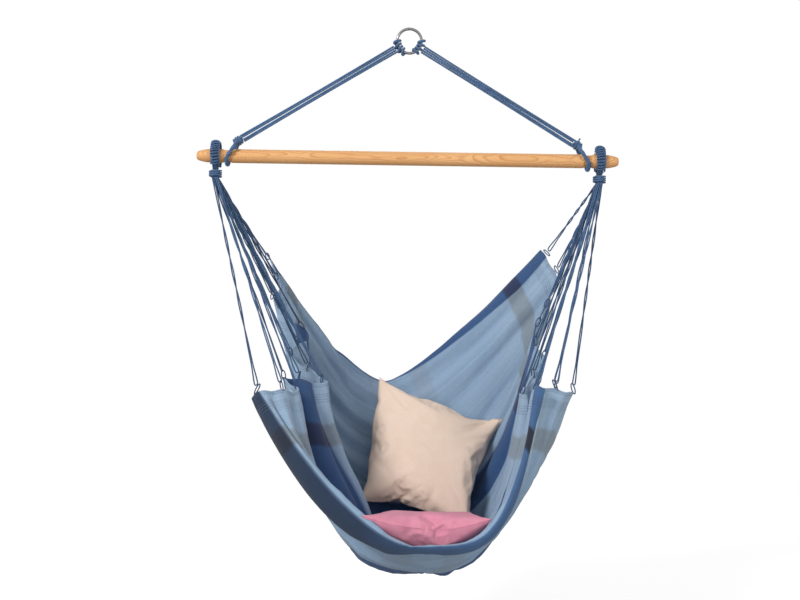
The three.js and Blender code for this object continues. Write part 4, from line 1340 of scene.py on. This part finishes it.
def dressed_surface():
    """The seat with its gathers at the hems, its small folds and its creases."""
    base = seat_surface(FINE_ACROSS, FINE_ALONG, SEAT_SHIFT)
    normal = surface_normals(base)
    across = FINE_ACROSS[None, :]
    out = np.abs(across)
    along = FINE_ALONG[:, None]
    from_left = running_length(base, 1)
    width = from_left[:, -1:]
    from_hem = np.minimum(from_left, width - from_left)
    lift = np.zeros(base.shape[:2])
    draw = np.zeros(base.shape[:2])
    for column, chosen, seed in ((0, across < 0, 21), (-1, across > 0, 34)):
        phase = pair_phase(base[:, column])[:, None]
        drift = 0.5 * soft_noise(6, 5, seed) * (1 - np.exp(-from_hem / 0.12))
        gather = np.cos(2 * math.pi * (phase + drift))
        second = np.cos(math.pi * (phase + drift) + 0.6)
        strength = fold_strengths(phase + 0.5 * drift, seed)
        valley = (phase + drift + 0.5) % 1.0 - 0.5
        crease = -bell(np.abs(valley) - 0.5, CREASE_WIDTH)
        away = (1 - np.exp(-from_hem / 0.06)) * bell(from_hem, 0.52)
        pucker = 1.6 * MM * gather * np.exp(-from_hem / 0.03)
        pucker += (5 * MM * gather + CREASE_DEPTH * strength * crease) * away
        pucker += 7 * MM * second * (1 - np.exp(-from_hem / 0.08)) * bell(from_hem, 0.46)
        lift += np.where(chosen, pucker, 0)
        scallop = 5.0 * MM * (0.5 - 0.5 * gather) * np.exp(-from_hem / 0.018)
        draw += np.where(chosen, scallop, 0)
    wander = soft_noise(5, 6, 3)
    long_folds = np.sin(2 * math.pi * (9.0 * along + 0.8 * across + 0.4 * wander))
    lift += 3.0 * MM * bell(out, 0.45) * long_folds * np.sin(math.pi * along)
    lift += 1.8 * MM * soft_noise(26, 18, 5)
    lift += 0.7 * MM * soft_noise(70, 52, 8)
    for at_along, deep in LEFT_INNER_FOLDS:
        reach = bell(from_left - INNER_FOLD_AT, INNER_FOLD_REACH)
        lift -= deep * bell(along - at_along, INNER_FOLD_WIDTH) * reach
    inward = np.gradient(base, axis=1)
    inward /= np.linalg.norm(inward, axis=2, keepdims=True)
    inward *= -np.sign(across)[..., None]
    curled = np.maximum(1 - along / CURL_REACH, 0.0) ** 1.5 * (1 - np.exp(-from_hem / 0.07))
    turned = curled[..., None] * np.array(FRONT_CURL)
    for at_along, along_reach, at_out, out_reach, shift in LEFT_PANEL_LEANS:
        lean = bell(along - at_along, along_reach) * bell(out - at_out, out_reach)
        turned = turned + np.where(across < 0, lean, 0)[..., None] * np.array(shift)
    return base + normal * lift[..., None] + inward * draw[..., None] + turned


def sheet_faces(rows, columns):
    """The quads of a sheet whose points are numbered row by row, and those numbers."""
    index = np.arange(rows * columns).reshape(rows, columns)
    corners = (index[:-1, :-1], index[:-1, 1:], index[1:, 1:], index[1:, :-1])
    return np.stack([corner.ravel() for corner in corners], 1), index


def add_thread_map(mesh, faces, places):
    """The map that a weave follows: a place in metres on the flat cloth for each point."""
    layer = mesh.uv_layers.new(name="threads")
    corners = np.array(faces).ravel()
    layer.data.foreach_set("uv", np.array(places)[corners].ravel())


def make_cloth():
    surface = dressed_surface()
    normal = surface_normals(surface)
    from_left = running_length(surface, 1)
    width = from_left[:, -1:]
    hem_distance = np.minimum(from_left, width - from_left)
    hem_swell = 0.5 * MM / (1 + np.exp((hem_distance - HEM_DEPTH) / (1.5 * MM)))
    half = (CLOTH_THICKNESS / 2 - 0.3 * MM + hem_swell)[..., None]
    both_sides = [(surface + normal * half).reshape(-1, 3), (surface - normal * half).reshape(-1, 3)]
    rows, columns = surface.shape[:2]
    top, index = sheet_faces(rows, columns)
    below = rows * columns
    border = np.concatenate([index[0, :], index[1:, -1], index[-1, -2::-1], index[-2:0:-1, 0]])
    ahead = np.roll(border, -1)
    walls = np.stack([border + below, ahead + below, ahead, border], 1)
    faces = np.concatenate([top, top[:, [0, 3, 2, 1]] + below, walls])
    mesh = make_mesh(np.concatenate(both_sides).tolist(), faces.tolist())

    across_map = from_left / width * FLAT_WIDTH
    plain = seat_surface(FINE_ACROSS, FINE_ALONG, SEAT_SHIFT)
    down = running_length(plain, 0).mean(axis=1)
    along_map = np.repeat((down / down[-1] * FLAT_LENGTH)[:, None], columns, axis=1)
    folded = np.interp(along_map, *RIGHT_FOLDED_AWAY)
    share = 1 / (1 + np.exp((RIGHT_FOLD_FROM - across_map) / 0.03))
    along_map = along_map + (folded - along_map) * share
    along_map += LEFT_FOLD_SHIFT * bell(from_left, 0.16) * bell(along_map - 0.31, 0.07)
    places = np.stack([across_map, along_map], 2).reshape(-1, 2)
    add_thread_map(mesh, faces, np.concatenate([places, places]))
    cloth = add_piece("plaid_seat_cloth", mesh, "seat", "cloth", "cloth", "seat_cloth")
    return cloth, surface, normal, hem_distance


def make_hem_stitches(surface, normal, hem_distance):
    """Stitches along each seam of both hems, on both faces of the cloth."""
    lines = []
    last = surface.shape[1] - 1
    for seam in HEM_SEAMS:
        for columns in (list(range(last // 2 + (last % 2))), list(range(last, (last + 1) // 2, -1))):
            for face in (1, -1):
                line = []
                for j in range(surface.shape[0]):
                    reach = hem_distance[j, columns]
                    k = int(np.searchsorted(reach, seam))
                    t = (seam - reach[k - 1]) / (reach[k] - reach[k - 1])
                    p = surface[j, columns[k - 1]] * (1 - t) + surface[j, columns[k]] * t
                    n = normal[j, columns[k - 1]]
                    line.append(p + n * face * (CLOTH_THICKNESS / 2 + 0.2 * MM))
                lines.append(line)
    sewn = sew(lines, "thread", 4.2 * MM, 3.4 * MM, 0.9 * MM)
    return add_piece("hem_stitches", sewn, "seat", "cloth", "thread")


# Seat strings and eyelets

def hem_places(side):
    """Where the string pairs meet a hem, as the CAD has them: a point and the hem's direction."""
    grid = seat_surface(COARSE_ACROSS, COARSE_ALONG, SEAT_SHIFT)
    edge = grid[:, 0 if side < 0 else -1]
    phase = pair_phase(edge)
    places = []
    for k in range(STRING_PAIRS):
        row = max(1, int(np.argmax(phase >= k - 1e-9)))
        share = (k - phase[row - 1]) / (phase[row] - phase[row - 1])
        point = edge[row - 1] * (1 - share) + edge[row] * share
        places.append((Vector(point), Vector(edge[row] - edge[row - 1]).normalized()))
    return places


def string_route(side, k, places):
    """Down from the collar, through the eyelet and back up, and the eyelet's own place and turn."""
    point, tangent = places[k]
    partner = places[k + 1 if k % 2 == 0 else k - 1][0]
    outer = side * point.x > side * partner.x
    column = (1 if outer else -1) * side * STRING_TOP_PITCH
    rows = (STRING_PAIRS + 1) // 2
    back = (k // 2 - (rows - 1) / 2) * STRING_TOP_PITCH
    top = Vector((side * END_LOOP_AT + column, back, COLLAR_FOOT_Z - SEAT_GAP))
    up = (top - point).normalized()
    across = (tangent - up * tangent.dot(up)).normalized()
    if across.x < 0:
        across = -across
    hook = EYELET_ABOVE - EYELET_CORD - STRING_DIAMETER / 2 - SEAT_GAP
    centre = point + up * (hook + STRING_BEND_RADIUS)
    bend = []
    for i in range(13):
        turn = math.pi * i / 12
        out = across * math.cos(turn) + up * math.sin(turn)
        bend.append(centre - out * STRING_BEND_RADIUS)
    down = []
    back_up = []
    length = (centre - top).length
    for i in range(STRING_STEPS):
        share = i / STRING_STEPS
        opening = smooth_step(share * length, length - STRING_OPENING, length)
        half = STRING_TOP_PITCH / 2 + (STRING_BEND_RADIUS - STRING_TOP_PITCH / 2) * opening
        turn = 2 * math.pi * STRING_TWIST * smooth_step(share, 0.03, 1 - STRING_OPENING / length)
        level = Vector((1, 0, 0)).lerp(across, share).normalized()
        level = (level - up * level.dot(up)).normalized()
        out = level * math.cos(turn) + up.cross(level) * math.sin(turn)
        if i == 0:
            out = Vector((1, 0, 0))
        down.append(top.lerp(centre, share) - out * half)
        back_up.append(top.lerp(centre, share) + out * half)
    eyelet_at = point + up * (EYELET_ABOVE - EYELET_BELOW) / 2
    turn = Matrix((up.cross(across), up, -across)).transposed().to_euler()
    return down + bend + back_up[::-1], eyelet_at, turn


def make_strings():
    """The fan of strings from each collar, and the eyelets that hold them at the hems."""
    eyelets = []
    turns = []
    for side, name in SIDES:
        places = hem_places(side)
        for k in range(STRING_PAIRS):
            route, eyelet_at, turn = string_route(side, k, places)
            eyelets.append(tuple(eyelet_at))
            turns.extend(turn)
            finish = "cord" if (k + (side > 0)) % 3 else "dark_cord"
            add_cord(f"{name}_string_{k + 1:02d}", "seat", f"{name}_seat_string_{k + 1:02d}", route,
                     finish, STRING_DIAMETER, STRING_LAY)
    mesh = make_mesh(eyelets)
    mesh.attributes.new("turn", "FLOAT_VECTOR", "POINT").data.foreach_set("vector", turns)
    hung = grow(trees["eyelet"], mesh, {
        "Half Width": (EYELET_WIDTH - EYELET_CORD) / 2,
        "Half Height": (EYELET_ABOVE + EYELET_BELOW - EYELET_CORD) / 2,
        "Cord Radius": EYELET_CORD / 2,
        "Material": finishes["dark_cord"],
    })
    return add_piece("hem_eyelets", hung, "seat", "cord", "dark_cord")


# Cushions. Places on a cover are a and b, from -1 to 1 over its two sides

def pillow_grid(shape):
    """Two square sheets joined at their edge. shape gives a point for a place and a face."""
    index = {}
    points = []
    flat = []
    faces = []

    def corner(i, j, face):
        rim = i in (0, COVER_CELLS) or j in (0, COVER_CELLS)
        key = (i, j, 0 if rim else face)
        if key not in index:
            index[key] = len(points)
            a = 2 * i / COVER_CELLS - 1
            b = 2 * j / COVER_CELLS - 1
            points.append(shape(a, b, key[2]))
            flat.append(((a + 1) * COVER_SIDE / 2, (b + 1) * COVER_SIDE / 2))
        return index[key]

    for j in range(COVER_CELLS):
        for i in range(COVER_CELLS):
            for face in (1, -1):
                around = [corner(i, j, face), corner(i + 1, j, face),
                          corner(i + 1, j + 1, face), corner(i, j + 1, face)]
                faces.append(around if face > 0 else around[::-1])
    return points, faces, flat


def cover_place(uv):
    return 2 * uv[0] / COVER_SIDE - 1, 2 * uv[1] / COVER_SIDE - 1


def plain_pillow(a, b, face):
    """A crowned cushion whose sides pull in between its corners."""
    x = a * (1 - CUSHION_PULL * (1 - b * b) * a * a) * CUSHION_SIDE / 2
    y = b * (1 - CUSHION_PULL * (1 - a * a) * b * b) * CUSHION_SIDE / 2
    crown = math.sqrt(max((1 - a * a) * (1 - b * b), 0.0))
    return Vector((x, y, face * crown * CUSHION_THICKNESS / 2))


def bent(bends, a, b):
    """How far a cushion's middle sheet is bent up at a place: across, along and at its corners."""
    across, along, corner = bends
    return across * a * a + along * b * b + corner * a * a * b * b


def tucked(spec, a, b):
    """How far a place on the cover is moved where the cushion leans, sags or is folded in."""
    shift = Vector(spec["sunk"])
    for at_a, at_b, width, reach in spec["tucks"]:
        away = ((a - at_a) ** 2 + (b - at_b) ** 2) / width ** 2
        shift += Vector(reach) * math.exp(-away)
    return shift


def creased(spec, a, b):
    """How deep the creases of the cover are at a place: each is a short line that dies out."""
    depth = 0.0
    for at_a, at_b, turn, width, length, deep in spec["creases"]:
        lean = math.radians(turn)
        along = (a - at_a) * math.cos(lean) + (b - at_b) * math.sin(lean)
        aside = (b - at_b) * math.cos(lean) - (a - at_a) * math.sin(lean)
        ridge = (aside / width) ** 2
        depth += deep * (1 - 0.9 * ridge) * math.exp(-ridge - (along / length) ** 2)
    return depth


def cushion_turn(spec):
    """The turn of a cushion: its roll first, then about Z, Y and X."""
    turn = Matrix.Identity(3)
    for degrees, axis in zip(spec["turn"], "XYZ"):
        turn = turn @ Matrix.Rotation(math.radians(degrees), 3, axis)
    return turn @ Matrix.Rotation(math.radians(spec["roll"]), 3, "Z")


def cushion_place(spec):
    """Where the middle of a cushion lies, from the box of its CAD solid."""
    turn = cushion_turn(spec)
    stations = [math.sin((i / 12 * 2 - 1) * math.pi / 2) for i in range(13)]
    form = []
    for a in stations:
        for b in stations:
            for face in (1, -1):
                point = plain_pillow(a, b, face) * Vector(spec["pressed_share"])
                point.z += bent(spec["bends"], a, b)
                form.append(turn @ point)
    low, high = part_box(spec["node"])
    return Vector([(low[k] + high[k]) / 2 - (min(p[k] for p in form) + max(p[k] for p in form)) / 2
                   for k in range(3)])


def inflated(seed):
    """A flat cover blown up by cloth simulation, as points in its own frame."""
    rng = np.random.default_rng(seed)
    tilt = rng.uniform(-1, 1, 6)

    def flat_lens(a, b, face):
        fade = (1 - a * a) * (1 - b * b)
        ripple = 1 * MM * (math.sin(9 * a + tilt[0]) + math.sin(8 * b + tilt[1])) * fade
        return Vector((a * COVER_SIDE / 2, b * COVER_SIDE / 2, face * 4 * MM * fade + ripple))

    points, faces, flat = pillow_grid(flat_lens)
    cover = place_object("cover", make_mesh(points, faces))
    modifier = cover.modifiers.new("cloth", "CLOTH")
    for key, value in INFLATING.items():
        setattr(modifier.settings, key, value)
    modifier.settings.effector_weights.gravity = 0
    modifier.collision_settings.use_collision = False
    modifier.point_cache.frame_start = 1
    modifier.point_cache.frame_end = INFLATED_AT
    scene = bpy.context.scene
    for step in range(1, INFLATED_AT + 1):
        scene.frame_set(step)
    depsgraph = bpy.context.evaluated_depsgraph_get()
    settled = cover.evaluated_get(depsgraph).to_mesh()
    made = [v.co.copy() for v in settled.vertices]
    cover.modifiers.remove(modifier)
    bpy.data.objects.remove(cover)
    scene.frame_set(1)
    return made, faces, flat


def moved_clear(points, blocker):
    """The points with each that lies too near a surface, or behind it, set just in front of it."""
    clear = []
    for p in points:
        spot, normal, _, distance = blocker.find_nearest(p, COVER_SEARCH)
        if spot is not None and distance < COVER_PUSH:
            p = p + normal * max(COVER_GAP - (p - spot).dot(normal), 0.0)
        clear.append(p)
    return clear


def make_cushion(spec, keep_out):
    """A cushion as it lies, clear of each surface in keep_out in turn, and the seam round it."""
    points, faces, flat = inflated(spec["seed"])
    corners = [p for p, uv in zip(points, flat) if min(map(abs, cover_place(uv))) > 1 - 1e-5]
    side = 2 * sum(max(abs(p.x), abs(p.y)) for p in corners) / len(corners)
    thick = max(p.z for p in points) - min(p.z for p in points)
    turn = cushion_turn(spec)
    place = cushion_place(spec)
    across_share, along_share, height_share = spec["pressed_share"]
    placed = []
    for p in points:
        a = 2 * p.x / side
        b = 2 * p.y / side
        height = p.z * height_share * CUSHION_THICKNESS / thick
        if height > 0:
            height -= creased(spec, a, b) * min(height / CREASE_FADE, 1.0)
        x = across_share * CUSHION_SIDE / 2 * a
        y = along_share * CUSHION_SIDE / 2 * b
        formed = Vector((x, y, height + bent(spec["laid_bends"], a, b)))
        placed.append(turn @ formed + place + tucked(spec, a, b))
    for blocker in keep_out:
        placed = moved_clear(placed, blocker)
    mesh = make_mesh(placed, faces)
    add_thread_map(mesh, faces, flat)
    colour = spec["colour"]
    cushion = add_piece(f"{colour}_cushion", mesh, "seat", f"{colour}_cover", colour, spec["node"])
    subdivide = cushion.modifiers.new("smooth", "SUBSURF")
    subdivide.levels = 1
    subdivide.render_levels = 1

    def way_round(item):
        a, b = cover_place(item[1])
        if b <= -1 + 1e-6:
            return a
        if a >= 1 - 1e-6:
            return 2 + b
        return 4 - a if b >= 1 - 1e-6 else 6 - b

    rim = [item for item in zip(placed, flat) if max(map(abs, cover_place(item[1]))) > 1 - 1e-6]
    loop = [p for p, _ in sorted(rim, key=way_round)]
    sewn = sew([loop + loop[:1]], f"{colour}_thread", 4.4 * MM, 3.6 * MM, 1.3 * MM)
    add_piece(f"{colour}_seam", sewn, "seat", f"{colour}_cover", f"{colour}_thread")
    return BVHTree.FromPolygons(placed, faces)


make_camera()
make_lights()
make_floor()
finishes = make_finishes()
trees = {
    "laid": make_laid_cord_tree(),
    "winding": make_winding_tree(),
    "stitch": make_stitch_tree(),
    "eyelet": make_eyelet_tree(),
}
make_hanging_cords()
eyelets = make_strings()
make_ring()
make_hitches()
make_knots()
make_bar_loops()
make_bar()
make_end_loops()
make_collars()
cloth, surface, normal, hem_distance = make_cloth()
stitches = make_hem_stitches(surface, normal, hem_distance)

top_skin = (surface + normal * (CLOTH_THICKNESS / 2)).reshape(-1, 3)
cloth_block = BVHTree.FromPolygons(top_skin.tolist(), sheet_faces(*surface.shape[:2])[0].tolist())
beige_block = make_cushion(BACK_CUSHION, [cloth_block])
make_cushion(SEAT_CUSHION, [cloth_block, beige_block, cloth_block])

bpy.context.scene.view_settings.view_transform = "Standard"
